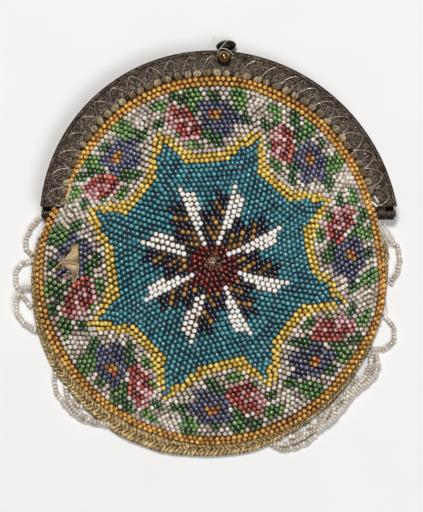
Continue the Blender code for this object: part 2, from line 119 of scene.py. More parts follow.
FRINGE_LOOPS = (
    ("fringe_loop_left_1", 0, ((164, 0.0), (170, 0.4), (175, 0.4), (178, 0.0))),
    ("fringe_loop_left_2", 0, ((180, 0.0), (182, 0.6), (186, 0.7), (190, 0.4), (194, 0.0))),
    ("fringe_loop_left_3", 1, ((188, 0.0), (189, 0.5), (194, 0.8), (199, 0.4), (201, 0.0))),
    ("fringe_loop_low_left_1", 0,
     ((215.5, 0.05), (219, 0.5), (223, 0.66), (228, 0.68), (232, 0.5), (237, 0.0))),
    ("fringe_loop_low_left_2", 0, ((221, 0.0), (223.3, 0.32), (226.4, 0.22), (229, 0.0))),
    ("fringe_loop_low_right_4", 0, ((288, 0.0), (290.5, 0.45), (296, 0.7), (301, 0.6), (305, 0.0))),
    ("fringe_loop_low_right_3", 1, ((294, 0.0), (298, 0.2), (303, 0.5), (308, 0.4), (310, 0.0))),
    ("fringe_loop_low_right_2", 0, ((307, 0.0), (309, 0.4), (313, 0.4), (317, 0.3), (319, 0.0))),
    ("fringe_loop_low_right_1", 1,
     ((311, 0.0), (315, 0.2), (320, 0.5), (325, 0.72), (329, 0.5), (331, 0.0))),
    ("fringe_loop_right_2", 0, ((331, 0.0), (334, 0.7), (338, 0.8), (341, 0.4), (342, 0.0))),
    ("fringe_loop_right_1", 0, ((353, 0.0), (358, 0.4), (364, 0.4), (367, 0.0))),
)

# Strands that lie among the loops: level, then direction and share of the reach
INNER_STRANDS = (
    (0.5, ((289, 0.0), (293, 0.3), (299, 0.35), (305, 0.25), (308, 0.0))),
    (1.1, ((300, 0.0), (305, 0.5), (311, 0.45), (317, 0.3), (321, 0.0))),
    (0.4, ((308, 0.0), (314, 0.4), (319, 0.45), (325, 0.45), (329, 0.0))),
    (1.3, ((315, 0.0), (319, 0.25), (325, 0.3), (331, 0.0))),
    (1.0, ((223.5, 0.3), (226, 0.42), (229.5, 0.42), (233, 0.27), (237.5, -0.1))),
)

# Beads; the lean is the turn of a bead's hole away from the middle, at distances in pixels
BEAD_LEAN_DEG = (20, 50)
BEAD_LEAN_PX = (72, 122)
BEAD_RADIUS = 0.91 * MM
BEAD_HALF_LENGTH = 0.7 * MM
FRONT_CENTRE_Z = FRONT_TOP - BEAD_RADIUS
EDGE_CENTRE_Z = 2.6 * MM
BACK_CENTRE_Z = BEAD_RADIUS
CLOTH_BELOW = 0.6 * MM

# The star's pattern, in pixels from its middle: the edge every 10 degrees, the eight tips,
# and the spacing of the rows
EDGE_STEP_DEG = 10
EDGE_PX = (
    173.5, 171.5, 171.5, 173.5, 175.5, 179, 181.5, 183.5, 186, 185, 184, 182,
    179, 174, 170, 168, 168, 173, 177, 180, 183, 183, 183, 183,
    183, 183, 184, 185, 185, 185, 184.5, 182.5, 180, 179, 180, 177.5,
)
TIP_DEG = (26.6, 68.9, 111.3, 156.7, 207.1, 249.8, 294.3, 341.4)
TIP_PX = (132, 136, 137, 131.7, 134, 145, 136, 138)
IDEAL_EDGE = 180.0
IDEAL_TIP = 137.0
WEDGE_DEG = 45
HALF_WEDGE_DEG = 22.5
LINE_DEG = 4.8
# Rows run straight across each wedge at first, and are round from ROUND_ROWS on
STRAIGHT_ROWS = 22
ROUND_ROWS = 36
ROWS = 38
ROWS_TO_FRAME = 41
ROW_STEP_PX = (5.1, 0.0096)
PITCH_PX = 5.4
STRAIGHT_LENGTH = 0.828
ROUND_LENGTH = 0.785
NO_PLACE = 99
# The white spokes: the first row of each, their last row, the rows from which they are two and
# three beads wide, how many rows further out each lies, and how far it is turned, in degrees,
# at these distances from the middle
SPOKE_FIRST = (4, 4, 4, 6, 5, 7, 6, 6)
SPOKE_LAST = 15
SPOKE_WIDE_FROM = {1: 8, 2: 11}
SPOKE_SHIFT = (0, 0, 0, -1, 0, 0, 1, 0)
TURN_PX = (28, 50, 76, 115)
SPOKE_TURN = ((-9.5, -7, -5.3, 0), (-3.5, -2, -0.8, 0), (-2.5, -1.5, -2.5, 0), (4, 3, 2.7, 0),
              (3.5, 0.5, -0.9, 0), (0.8, 1.3, 0.9, 0), (-2.9, -2.8, -1.9, 0), (-11, -6, -2.6, 0))
# The red middle: its own middle and half its width and height
RED_PX = ((0.5, -6), (27, 23.5))
# Where a bead is lost from a spoke, the flower that lost its middle to the tear, and the tear
LOST_PX = ((194.5, 315), (199.5, 315), (199.5, 321), (194.5, 321))
LOST_MIDDLE_PX = (-146, -3)
LOST_MIDDLE_REACH = 9
HOLE_PX = ((72.5, 242), (79.5, 241.5), (80.5, 255), (79.5, 266), (77.5, 274), (76.5, 282),
           (73, 281), (70.5, 272), (66.5, 265), (60, 266.5), (55, 269), (57, 263), (65, 256),
           (70, 250))


# Numbers and curves

def smooth_value(values, place, closed=False):
    """A smooth curve through evenly spaced values, read at a place counted in values."""
    count = len(values)
    i = math.floor(place)
    t = place - i

    def at(k):
        return values[k % count] if closed else values[min(max(k, 0), count - 1)]

    a, b, c, d = at(i - 1), at(i), at(i + 1), at(i + 2)
    return b + t * (c - a + t * (2 * a - 5 * b + 4 * c - d + t * (3 * b - a - 3 * c + d))) / 2


def clamp(value, low=0.0, high=1.0):
    return min(max(value, low), high)


def smoothstep(value, low, high):
    t = clamp((value - low) / (high - low))
    return t * t * (3 - 2 * t)


def unit(degrees):
    turn = math.radians(degrees)
    return np.array((math.cos(turn), math.sin(turn), 0.0))


def point_px(x, y, z):
    """The place over a pixel of the photograph at a height."""
    return np.array(((x - STAR_PX[0]) * PIXEL, (STAR_PX[1] - y) * PIXEL, z))


def to_px(x, y):
    """The pixel of the photograph that shows a place."""
    return x / PIXEL + STAR_PX[0], STAR_PX[1] - y / PIXEL


def bell(value, middle, spread):
    return math.exp(-((value - middle) / spread) ** 2)


def smooth_path(points, per_span):
    """A smooth line through points, with so many steps to each span."""
    points = np.asarray(points, float)
    places = np.linspace(0, len(points) - 1, (len(points) - 1) * per_span + 1)
    columns = [[smooth_value(list(points[:, k]), p) for p in places] for k in range(3)]
    return np.array(columns).T


def even_path(points, step):
    """The same line as points that are a step apart."""
    points = np.asarray(points, float)
    lengths = np.linalg.norm(np.diff(points, axis=0), axis=1)
    along = np.concatenate(([0], np.cumsum(lengths)))
    count = max(2, int(round(along[-1] / step)) + 1)
    places = np.linspace(0, along[-1], count)
    return np.array([np.interp(places, along, points[:, k]) for k in range(3)]).T


def inside_outline(outline, x, y):
    """Whether a point lies inside an outline."""
    inside = False
    j = len(outline) - 1
    for i in range(len(outline)):
        (xi, yi), (xj, yj) = outline[i], outline[j]
        if (yi > y) != (yj > y) and x < (xj - xi) * (y - yi) / (yj - yi) + xi:
            inside = not inside
        j = i
    return inside


def line_value(points, x):
    """Height of a broken line at x."""
    return float(np.interp(x, [p[0] for p in points], [p[1] for p in points]))


# The part's own lines

def bag_radius(degrees):
    """Distance from the origin to the bag's edge in one direction."""
    return BAG_RADIUS * smooth_value(BAG_RADIUS_SHARES, degrees / SHARE_STEP_DEG, closed=True)


def bag_rounding(degrees):
    """How far in from the edge the front is rounded, in one direction."""
    return BAG_ROUNDING * smooth_value(BAG_ROUNDING_SHARES, degrees / SHARE_STEP_DEG, closed=True)


def frame_point(share, inset):
    """A point on the frame's edge, set in by inset, at a share of the way from right to left."""
    long_radius = FRAME_LONG_RADIUS - inset
    short_radius = FRAME_SHORT_RADIUS - inset
    rise_long = long_radius * math.sin(FRAME_LEAN)
    rise_short = short_radius * math.cos(FRAME_LEAN)
    swing = math.acos((FRAME_END_Y - FRAME_CENTRE[1]) / math.hypot(rise_long, rise_short))
    turn = math.atan2(rise_short, rise_long) + swing * (2 * share - 1)
    a, b = long_radius * math.cos(turn), short_radius * math.sin(turn)
    x = a * math.cos(FRAME_LEAN) - b * math.sin(FRAME_LEAN)
    y = a * math.sin(FRAME_LEAN) + b * math.cos(FRAME_LEAN)
    return FRAME_CENTRE + np.array((x, y))


def frame_inner_radius(degrees):
    """Distance from the star's middle to the frame's inner edge in one direction."""
    way = unit(degrees)[:2]
    low, high = 0.0, 2 * BAG_RADIUS
    turn = np.array(((math.cos(FRAME_LEAN), math.sin(FRAME_LEAN)),
                     (-math.sin(FRAME_LEAN), math.cos(FRAME_LEAN))))
    radii = np.array((FRAME_LONG_RADIUS, FRAME_SHORT_RADIUS)) - BAND_WIDTH
    for _ in range(30):
        middle = (low + high) / 2
        if np.linalg.norm(turn @ (way * middle - FRAME_CENTRE) / radii) < 1:
            low = middle
        else:
            high = middle
    return low


INNER_RADII = [frame_inner_radius(d) for d in range(360)]


def inner_radius(degrees):
    return smooth_value(INNER_RADII, degrees, closed=True)


def under_frame(x, y):
    """How far a place lies beyond the frame's inner edge, or None below the frame's ends."""
    if y < FRAME_END_Y - CLEARANCE:
        return None
    degrees = math.degrees(math.atan2(y, x))
    return math.hypot(x, y) - inner_radius(degrees % 360)


def braid_width(degrees):
    share = clamp((degrees - BRAID_FROM_DEG) / (BRAID_TO_DEG - BRAID_FROM_DEG))
    return BRAID_WIDTH * smooth_value(BRAID_WIDTH_SHARES, share * (len(BRAID_WIDTH_SHARES) - 1))


def fringe_radius(degrees, share):
    """Distance from the origin to a share of the fringe's reach, in one direction."""
    inner = bag_radius(degrees) + 2 * CLEARANCE + braid_width(degrees) + STRAND_RADIUS
    return inner + FRINGE_REACH * share


# The bag's surface

# The front rounds down by this power, less and less above FLAT_FROM_Y, and sags in waves
ROUND_POWER = 1.5
FLAT_FROM_Y = 9.4 * MM
SAG = 0.28 * MM
BEAD_INSET = 0.7 * MM


def front_height(x, y, inset, low, high):
    """Height of a sheet of the front: flat, and rounded down to low along the lower edge."""
    degrees = math.degrees(math.atan2(y, x)) % 360
    out = bag_radius(degrees) - math.hypot(x, y) - inset
    u = clamp(out / (bag_rounding(degrees) - inset))
    share = (1 - (1 - u) ** ROUND_POWER) ** (1 / ROUND_POWER)
    share += (1 - share) * smoothstep(y, FLAT_FROM_Y, FRAME_END_Y)
    wave = math.sin(x * 95 + 1.3 * math.sin(y * 80)) * math.sin(y * 105 + 1)
    sag = SAG * (0.5 + 0.5 * wave)
    return low + (high - sag - low) * share


def bead_height(x, y):
    return front_height(x, y, BEAD_INSET, EDGE_CENTRE_Z, FRONT_CENTRE_Z)


def edge_px(degrees):
    """Distance in pixels from the star's middle to the edge of the beads."""
    return smooth_value(EDGE_PX, degrees / EDGE_STEP_DEG, closed=True)


# The star's pattern

# Outlines within a wedge: degrees from the line between two tips, and distance in pixels
SHAPES = (
    ("amber", ((1.2, 149), (-3.2, 149), (-5.0, 139), (0.2, 139))),
    ("violet", ((6, 158), (-5.8, 160), (-8, 151), (-10.5, 150), (-13, 142), (-9.5, 136),
                (-10, 126), (-4, 122), (-3.5, 128.5), (4.5, 129.5), (5, 140), (4.5, 148))),
    ("dark_green", ((15.2, 172), (11.8, 172), (10.4, 163), (8.6, 162), (8.2, 154), (6.2, 152),
                    (4.6, 143), (6.4, 144), (9, 151), (12, 159), (15, 162))),
    ("mid_green", ((9.6, 169), (4.4, 169), (3.4, 160), (5.4, 159), (5.4, 150), (7.5, 150),
                   (8.3, 155), (8.6, 161))),
    ("dark_green", ((1.6, 167), (-1.6, 168), (-2.8, 160), (0.2, 160))),
    ("mid_green", ((-6.6, 169.5), (-11.6, 170), (-13.2, 162), (-13, 152), (-8.6, 152),
                   (-6.4, 161))),
    ("dark_green", ((-11.8, 150), (-16.5, 150), (-17.6, 143), (-14.5, 139.5), (-12.2, 142))),
    ("dark_green", ((4.8, 129.5), (-3.4, 128.5), (-3.0, 122), (-5.8, 119), (-6, 112),
                    (-1.2, 112), (0.4, 118), (4.6, 121.5))),
    ("mid_green", ((12.8, 121), (8.5, 121), (5, 117.5), (4.8, 112), (9, 111.5), (12.4, 115))),
    ("mid_green", ((19, 135), (16, 134), (14.6, 126), (17.4, 126.5))),
    ("mid_green", ((23.8, 167), (18.6, 168), (16.8, 161), (17.6, 152), (20.2, 153),
                   (21.5, 159.5), (23.6, 160))),
    ("dark_green", ((24, 153), (20.4, 152.5), (18.4, 146.5), (20, 144), (24, 145))),
)
ROSE = ((17.2, 158), (10.6, 153.5), (7.4, 143), (4.4, 135), (4.6, 126.5), (9, 121.5),
        (14.4, 122), (15.4, 131), (18.6, 138), (19, 150))
# Gold stripes in the dark star: a distance and direction on each, its slope and half its width,
# and the directions between which it lies
GOLD_STRIPES = ((53, -9, 0.95, 2.9, -15.5, -2.5), (38, -6, 0.72, 3.4, -15.5, 4),
                (27.5, 1, 0.25, 4.2, -9, 11))
ORANGE_FROM = 170.4
# The yellow line between the star and the flowers: its outer and inner side
YELLOW_TOP = ((-22.5, 141), (-20, 137.5), (-17.5, 132.5), (-15, 127), (-12.5, 121),
              (-10, 115.5), (-7.5, 111.5), (-5, 109), (0, 108.5), (5, 108.5), (10, 110),
              (12.5, 113), (15, 118), (17.5, 123.5), (20, 130), (22.5, 139))
YELLOW_LOW = ((-22.5, 137), (-20, 126), (-17.5, 120), (-15, 115), (-12.5, 109.5), (-10, 104),
              (-7.5, 100), (-5, 98.5), (0, 98), (5, 98), (10, 97.5), (12.5, 98), (15, 99.5),
              (17.5, 104), (20, 111), (22.5, 128))


def tip_share(k):
    """How far out a tip of the star lies, as a share of the edge's distance."""
    return TIP_PX[k % 8] / edge_px(TIP_DEG[k % 8])


def real_place(phi, rho):
    """Direction in degrees and distance in pixels of a place in the even star."""
    turn = (phi - HALF_WEDGE_DEG) / WEDGE_DEG
    k = math.floor(turn)
    t = turn - k
    a = TIP_DEG[k % 8] + 360 * (k // 8)
    b = TIP_DEG[(k + 1) % 8] + 360 * ((k + 1) // 8)
    direction = a + (b - a) * t
    share = tip_share(k) + (tip_share(k + 1) - tip_share(k)) * t
    wanted = rho / IDEAL_EDGE
    offset = IDEAL_TIP / IDEAL_EDGE - share
    s = wanted
    for _ in range(12):
        s = wanted - offset * s * s * (1 - s) / (share * share * (1 - share))
    direction += spoke_turn(phi, rho)
    return direction, s * edge_px(direction)


def spoke_turn(phi, rho):
    """How far the spokes turn the beads on both sides of a direction."""
    place = (phi - HALF_WEDGE_DEG - LINE_DEG) / WEDGE_DEG
    k = math.floor(place)
    turns = [float(np.interp(rho, TURN_PX, SPOKE_TURN[j % 8])) for j in (k, k + 1)]
    return turns[0] + (turns[1] - turns[0]) * (place - k)


def row_distance(n):
    """Distance of a row from the middle; the rows draw closer outwards."""
    first, less = ROW_STEP_PX
    return first * n - less * n * n


def bead_rows():
    """Each bead of the even star: its row, wedge, place in the row, direction and distance."""
    half_wedge = math.tan(math.radians(HALF_WEDGE_DEG))
    row = []
    for n in range(1, STRAIGHT_ROWS + 1):
        d = row_distance(n - 0.5)
        length = d * STRAIGHT_LENGTH
        count = max(1, round(length / PITCH_PX))
        row = []
        for wedge in range(8):
            for i in range(count):
                s = i * PITCH_PX + (length - count * PITCH_PX) * (i / count) ** 2
                alpha = math.degrees(math.atan(half_wedge * (1 - 2 * s / length)))
                phi = WEDGE_DEG * wedge + LINE_DEG + alpha
                row.append(phi % 360)
                yield n, wedge, i, phi, d / math.cos(math.radians(alpha))
    row = np.sort(np.array(row))
    for n in range(STRAIGHT_ROWS + 1, ROWS_TO_FRAME + 1):
        d = row_distance(n - 0.5)
        straight = clamp((ROUND_ROWS - n) / (ROUND_ROWS - STRAIGHT_ROWS))
        length = d * (STRAIGHT_LENGTH * straight + ROUND_LENGTH * (1 - straight))
        row = next_row(row, 8 * round(length / PITCH_PX))
        for phi in row:
            alpha = (phi - LINE_DEG + HALF_WEDGE_DEG) % WEDGE_DEG - HALF_WEDGE_DEG
            rho = d * (1 + straight * (1 / math.cos(math.radians(alpha)) - 1))
            yield n, 0, NO_PLACE, phi, rho


def next_row(row, count):
    """Beads between those of the row before, with more put in where they are wanted."""
    row = row + np.diff(np.append(row, row[0] + 360)) / 2
    while len(row) < count:
        gaps = np.diff(np.append(row, row[0] + 360))
        widest = np.argsort(gaps)[-len(gaps) // 3:]
        k = int(RNG.choice(widest))
        row = np.insert(row, k + 1, row[k] + gaps[k] / 2)
        row = evened(row, 3)
    return np.sort(evened(row, 4) % 360)


def evened(row, times):
    """Each direction drawn between its neighbours, so that the beads spread evenly."""
    for _ in range(times):
        before = np.append(row[-1] - 360, row[:-1])
        after = np.append(row[1:], row[0] + 360)
        row = row * 0.4 + (before + after) * 0.3
    return row


def rose_colour(phi, rho):
    """Petals of a rose: pale at its side and in its middle, lighter red round its edge."""
    across = (phi - 12) - 0.23 * (rho - 140)
    if phi > 15.6 and rho > 136:
        return "pink"
    if rho > 154 or across < -4.3:
        return "salmon"
    if rho < 126 or abs(rho - 141) < 2.4 and phi > 10.5:
        return "pink"
    if abs(phi - 10.8) < 1.4 and 129 < rho < 138:
        return "pink"
    return "rose_red"


def star_colour(f, rho):
    """Colours of the dark star round the middle, or None outside it."""
    top = 49 if 4 < f <= 20 else 62 if -3 < f <= 4 else 68.5
    if rho >= top:
        return None
    for distance, direction, slope, half_width, low, high in GOLD_STRIPES:
        if abs((rho - distance) - (f - direction) * slope) < half_width and low < f < high:
            return "gold_brown"
    return "navy"


def bead_colour(n, wedge, i, phi, rho, spot):
    """Colour of a bead, from its row and place, its direction and distance, and its real spot."""
    f = (phi + HALF_WEDGE_DEG) % WEDGE_DEG - HALF_WEDGE_DEG
    m = n - SPOKE_SHIFT[wedge]
    if i == 0 and SPOKE_FIRST[wedge] <= n and m <= SPOKE_LAST:
        return "white"
    if i in SPOKE_WIDE_FROM and SPOKE_WIDE_FROM[i] <= m < SPOKE_LAST:
        return "white"
    middle, halves = RED_PX
    if sum(((a - b) / c) ** 2 for a, b, c in zip(spot, middle, halves)) < 1:
        return "dark_red"
    found = star_colour(f, rho)
    if found:
        return found
    if rho < line_value(YELLOW_LOW, f):
        return "teal"
    if rho < line_value(YELLOW_TOP, f):
        return "yellow"
    if rho > ORANGE_FROM:
        return "orange"
    for x in (f, f + WEDGE_DEG):
        if inside_outline(ROSE, x, rho):
            return rose_colour(x, rho)
        for name, outline in SHAPES:
            if inside_outline(outline, x, rho):
                if name == "amber" and math.dist(spot, LOST_MIDDLE_PX) < LOST_MIDDLE_REACH:
                    return "violet"
                red = name == "amber" and x > -1.2 and rho > 144
                return "red_orange" if red else name
    return "ground"


# Meshes

def linked(name, data):
    made = bpy.data.objects.new(name, data)
    bpy.context.scene.collection.objects.link(made)
    return made


class Stock:
    """Points and faces that become one mesh, with a shade for each point."""

    def __init__(self):
        self.points = []
        self.faces = []
        self.shades = []
        self.count = 0

    def add(self, points, faces, shade=0.5):
        points = np.asarray(points, float)
        start = self.count
        self.faces.extend([tuple([start + i for i in face]) for face in faces])
        self.points.append(points)
        self.shades.append(np.full(len(points), shade) if np.isscalar(shade) else shade)
        self.count += len(points)

    def add_copies(self, template, centres, frames, sizes, shades, painted_shade=0.0):
        """Copies of a template: frames are the three axes of each, sizes scale along them, and
        the last argument lowers the shade at each point of the template, as painted shade."""
        points, faces = template
        centres, frames, sizes = (np.asarray(a, float) for a in (centres, frames, sizes))
        scaled = points[None, :, :] * sizes[:, None, :]
        placed = centres[:, None, :] + np.einsum("nmk,nkj->nmj", scaled, frames)
        for one, shade in zip(placed, shades):
            self.add(one, faces, np.full(len(one), shade) - painted_shade)

    def add_line(self, path, per_span, radius, sides, shade=0.5):
        """A round thread or rib along a smooth line through the points of a path."""
        self.add(*tube(smooth_path(path, per_span), radius, sides), shade)

    def piece(self, name, material, smooth=True):
        mesh = bpy.data.meshes.new(name)
        points = np.concatenate(self.points)
        mesh.from_pydata(points.tolist(), [], self.faces)
        mesh.materials.append(material)
        shade = mesh.attributes.new("shade", "FLOAT", "POINT")
        shade.data.foreach_set("value", np.concatenate(self.shades).astype(np.float32))
        if smooth:
            mesh.shade_smooth()
        mesh.validate()
        mesh.update()
        return linked(name, mesh)


def rings_mesh(rings):
    """Points and faces of a skin over rings of equally many points, closed at both ends."""
    count = len(rings[0])
    last = (len(rings) - 1) * count
    faces = []
    for low in range(0, last, count):
        high = low + count
        for i in range(count):
            j = (i + 1) % count
            faces.append((low + i, low + j, high + j, high + i))
    faces.append(tuple(range(count - 1, -1, -1)))
    faces.append(tuple(range(last, last + count)))
    return np.concatenate(rings), faces


def lathe(profile, sides):
    """A body turned about Y from (radius, place along Y) pairs."""
    rings = []
    for radius, along in profile:
        turns = [2 * math.pi * i / sides for i in range(sides)]
        rings.append(np.array([(radius * math.sin(t), along, radius * math.cos(t)) for t in turns]))
    return rings_mesh(rings)


def tube(path, radius, sides=5, flat=1.0):
    """A tube round a path; radius may change along it, and flat squeezes it in height."""
    path = np.asarray(path, float)
    ways = np.gradient(path, axis=0)
    ways /= np.linalg.norm(ways, axis=1)[:, None]
    radii = np.full(len(path), radius) if np.isscalar(radius) else radius
    side = np.cross(ways[0], (0, 0, 1.0))
    if np.linalg.norm(side) < 1e-3:
        side = np.array((1.0, 0, 0))
    rings = []
    for centre, way, size in zip(path, ways, radii):
        side = side - way * (side @ way)
        side /= np.linalg.norm(side)
        up = np.cross(side, way)
        turns = [2 * math.pi * i / sides for i in range(sides)]
        ring = [centre + size * (side * math.cos(t) + up * math.sin(t) * flat) for t in turns]
        rings.append(np.array(ring))
    return rings_mesh(rings)


# Materials

def linear(r, g, b):
    """The shader's colour for one written as 0 to 255 sRGB, as BEADS and MATERIALS hold them."""
    parts = [v / 255 for v in (r, g, b)]
    return (*[v / 12.92 if v <= 0.04045 else ((v + 0.055) / 1.055) ** 2.4 for v in parts], 1)


def new_material(name):
    made = bpy.data.materials.new(name)
    made.use_nodes = True
    return made, made.node_tree, made.node_tree.nodes["Principled BSDF"]


def set_values(shader, tree, values):
    """Give a node's inputs their values, and link those that another node drives."""
    for key, value in values.items():
        if isinstance(value, bpy.types.NodeSocket):
            tree.links.new(value, shader.inputs[key])
        else:
            shader.inputs[key].default_value = value
    return shader


def node(tree, kind, values=None, **settings):
    made = tree.nodes.new(kind)
    for key, value in settings.items():
        setattr(made, key, value)
    return set_values(made, tree, values or {})


def place_of(tree):
    return node(tree, "ShaderNodeTexCoord").outputs["Object"]


def combined(tree, first, second, operation="MULTIPLY"):
    return node(tree, "ShaderNodeMath", {0: first, 1: second}, operation=operation).outputs[0]


def noise(tree, scale, detail=2.0, roughness=0.5, vector=None):
    values = {"Scale": scale, "Detail": detail, "Roughness": roughness}
    values["Vector"] = vector or place_of(tree)
    return node(tree, "ShaderNodeTexNoise", values).outputs["Fac"]


def mix(tree, factor, first, second, blend_type="MIX"):
    values = {"Fac": factor, "Color1": first, "Color2": second}
    return node(tree, "ShaderNodeMixRGB", values, blend_type=blend_type).outputs["Color"]


def map_range(tree, value, low, high, to_low=0.0, to_high=1.0):
    values = {"Value": value, "From Min": low, "From Max": high,
              "To Min": to_low, "To Max": to_high}
    return node(tree, "ShaderNodeMapRange", values).outputs["Result"]


def bump(tree, height, strength, distance):
    values = {"Height": height, "Strength": strength, "Distance": distance}
    return node(tree, "ShaderNodeBump", values).outputs["Normal"]


def shade_of(tree):
    return node(tree, "ShaderNodeAttribute", attribute_name="shade").outputs["Fac"]


# Dark brown tint of the painted shade low on the beads' sides
PAINTED_SHADE_COLOUR = (0.4, 0.31, 0.2, 1)
WHITE = (1, 1, 1, 1)


def glass(name, dark, light, roughness, coat, clear=0.0):
    """Bead glass: each bead has its own shade between two colours, cloudy at a fine scale, and
    is painted dark brown where the shade is below 0, as painted shade low on its sides."""
    made, tree, shader = new_material(name)
    shade = map_range(tree, shade_of(tree), 0.0, 1.0)
    colour = mix(tree, shade, linear(*dark), linear(*light))
    # Painted shade: below a shade of 0 the glass is multiplied down towards the dark brown tint
    unshaded_share = map_range(tree, shade_of(tree), -1.2, 0.0)
    shade_tint = mix(tree, unshaded_share, PAINTED_SHADE_COLOUR, WHITE)
    colour = mix(tree, 1.0, colour, shade_tint, "MULTIPLY")
    cloud = map_range(tree, noise(tree, 1400, 2), 0.3, 0.7, 0.82, 1.1)
    grey = node(tree, "ShaderNodeCombineColor", {"Red": cloud, "Green": cloud, "Blue": cloud})
    colour = mix(tree, 1.0, colour, grey.outputs["Color"], "MULTIPLY")
    rough = map_range(tree, noise(tree, 2500, 3), 0.3, 0.7, roughness * 0.7, roughness * 1.3)
    normal = bump(tree, noise(tree, 1900, 2), 0.25, 0.05 * MM)
    set_values(shader, tree, {"Base Color": colour, "Roughness": rough, "Normal": normal,
                              "IOR": 1.52, "Coat Weight": coat, "Coat Roughness": 0.06,
                              "Coat IOR": 1.7, "Transmission Weight": clear})
    return made


def old_metal(name, dark, light, roughness, grain, strength):
    """Dark patina with light metal where it is rubbed, and a fine pitted skin."""
    made, tree, shader = new_material(name)
    place = place_of(tree)
    patches = noise(tree, 420, 4, 0.6, place)
    pits = noise(tree, grain, 3, 0.7, place)
    rubbed = map_range(tree, pits, 0.42, 0.68)
    worn = map_range(tree, patches, 0.3, 0.7, 0.25, 1.0)
    colour = mix(tree, combined(tree, rubbed, worn), linear(*dark), linear(*light))
    rough = map_range(tree, pits, 0.3, 0.7, roughness * 1.25, roughness * 0.75)
    normal = bump(tree, pits, strength, 0.12 * MM)
    set_values(shader, tree, {"Base Color": colour, "Metallic": 1.0, "Roughness": rough,
                              "Normal": normal})
    return made


def thread(name, dark, light, roughness=0.7, metallic=0.0):
    """Spun thread: fine slanting fibres with light and dark runs."""
    made, tree, shader = new_material(name)
    place = place_of(tree)
    values = {"Vector": place, "Scale": 1500, "Distortion": 4.0, "Detail": 2.0}
    wave = node(tree, "ShaderNodeTexWave", values, bands_direction="DIAGONAL").outputs["Fac"]
    runs = noise(tree, 500, 2, 0.5, place)
    amount = map_range(tree, combined(tree, wave, runs), 0.05, 0.55)
    shaded = map_range(tree, combined(tree, amount, shade_of(tree), "ADD"), 0.2, 1.5)
    colour = mix(tree, shaded, linear(*dark), linear(*light))
    normal = bump(tree, wave, 0.5, 0.06 * MM)
    set_values(shader, tree, {"Base Color": colour, "Roughness": roughness, "Normal": normal,
                              "Metallic": metallic})
    return made


def knit(name, dark, light, scale, sheen=0.3, painted_tones=None):
    """Fine cloth: two crossing sets of threads, worn in patches, with painted shade tones."""
    made, tree, shader = new_material(name)
    place = place_of(tree)
    values = {"Vector": place, "Scale": scale, "Distortion": 0.6, "Detail": 1.0}
    along = node(tree, "ShaderNodeTexWave", values, bands_direction="X").outputs["Fac"]
    across = node(tree, "ShaderNodeTexWave", values, bands_direction="Y").outputs["Fac"]
    weave = combined(tree, along, across)
    patches = map_range(tree, noise(tree, 160, 4, 0.6, place), 0.3, 0.7)
    amount = map_range(tree, combined(tree, weave, patches, "ADD"), 0.2, 1.5)
    colour = mix(tree, amount, linear(*dark), linear(*light))
    # The ramp of tones, read by shade, is painted shade over the cloth
    if painted_tones:
        ramp = node(tree, "ShaderNodeValToRGB", {"Fac": shade_of(tree)})
        stops = ramp.color_ramp.elements
        for place, tone in painted_tones[1:-1]:
            stops.new(place).color = linear(*tone)
        stops[0].color = linear(*painted_tones[0][1])
        stops[-1].color = linear(*painted_tones[-1][1])
        colour = mix(tree, 1.0, colour, ramp.outputs["Color"], "MULTIPLY")
    normal = bump(tree, weave, 0.6, 0.08 * MM)
    set_values(shader, tree, {"Base Color": colour, "Roughness": 0.85, "Normal": normal,
                              "Sheen Weight": sheen, "Sheen Roughness": 0.4})
    return made


# Each colour of bead: its dark and light shades, roughness and coat
BEADS = {
    "teal": ((23, 80, 97), (66, 149, 158), 0.16, 1.0),
    "white": ((240, 234, 226), (255, 253, 249), 0.36, 0.4),
    "ground": ((154, 140, 126), (238, 227, 213), 0.32, 0.5),
    "orange": ((164, 104, 30), (242, 182, 80), 0.22, 0.8),
    "yellow": ((188, 150, 48), (248, 216, 106), 0.28, 0.6),
    "navy": ((4, 3, 20), (20, 18, 54), 0.14, 0.8),
    "gold_brown": ((100, 68, 24), (194, 142, 66), 0.25, 0.5),
    "dark_red": ((48, 2, 2), (128, 14, 8), 0.14, 0.6),
    "violet": ((48, 50, 74), (106, 109, 134), 0.16, 1.0),
    "amber": ((124, 70, 20), (208, 148, 54), 0.2, 0.8),
    "red_orange": ((132, 46, 22), (200, 88, 44), 0.2, 0.8),
    "dark_green": ((24, 52, 26), (70, 110, 56), 0.14, 1.0),
    "mid_green": ((44, 84, 34), (122, 160, 84), 0.16, 1.0),
    "pink": ((172, 110, 112), (242, 194, 194), 0.3, 0.6),
    "salmon": ((160, 62, 50), (228, 124, 98), 0.2, 0.8),
    "rose_red": ((84, 12, 14), (176, 62, 52), 0.16, 1.0),
}


# The beaded sides

# Spread of the beads' places, directions in degrees and tilts, and the share by which their
# radius and length differ
PLACE_SPREAD = 0.06
TURN_SPREAD = 5
TILT_SPREAD = 0.12
RADIUS_RANGE = (0.92, 1.0)
LENGTH_RANGE = (0.88, 1.1)
# Near the frame: where a row past ROWS ends, where a bead is hidden, and the gap it keeps
ROW_GAP = 0.7 * MM
HIDDEN_FROM = 0.3 * MM
FRAME_GAP = 0.85 * MM
# Half the width, length and height of the thread in a bead, and the share of threads that are
# pale among dark beads and among beads on a net paler than PALE_FROM; the others are painted
# dark, as painted shade where the threads show in the gaps between beads
THREAD_HALVES = (0.13 * MM, 1.0 * MM, 0.13 * MM)
PALE_FROM = 0.7
PALE_SHARES = (0.1, 0.4)
SLOPE_STEP = 0.2 * MM
CLOTH_THICKNESS = 0.3 * MM
NET_INSET = 0.6 * MM


def surface_frame(height, x, y, degrees):
    """Axes of a bead on a surface: across, along its hole, and out of the surface."""
    step = SLOPE_STEP
    slope_x = (height(x + step, y) - height(x - step, y)) / (2 * step)
    slope_y = (height(x, y + step) - height(x, y - step)) / (2 * step)
    out = np.array((-slope_x, -slope_y, 1.0))
    out /= np.linalg.norm(out)
    way = unit(degrees)
    along = way + np.array((0, 0, slope_x * way[0] + slope_y * way[1]))
    along /= np.linalg.norm(along)
    return np.array((np.cross(along, out), along, out))


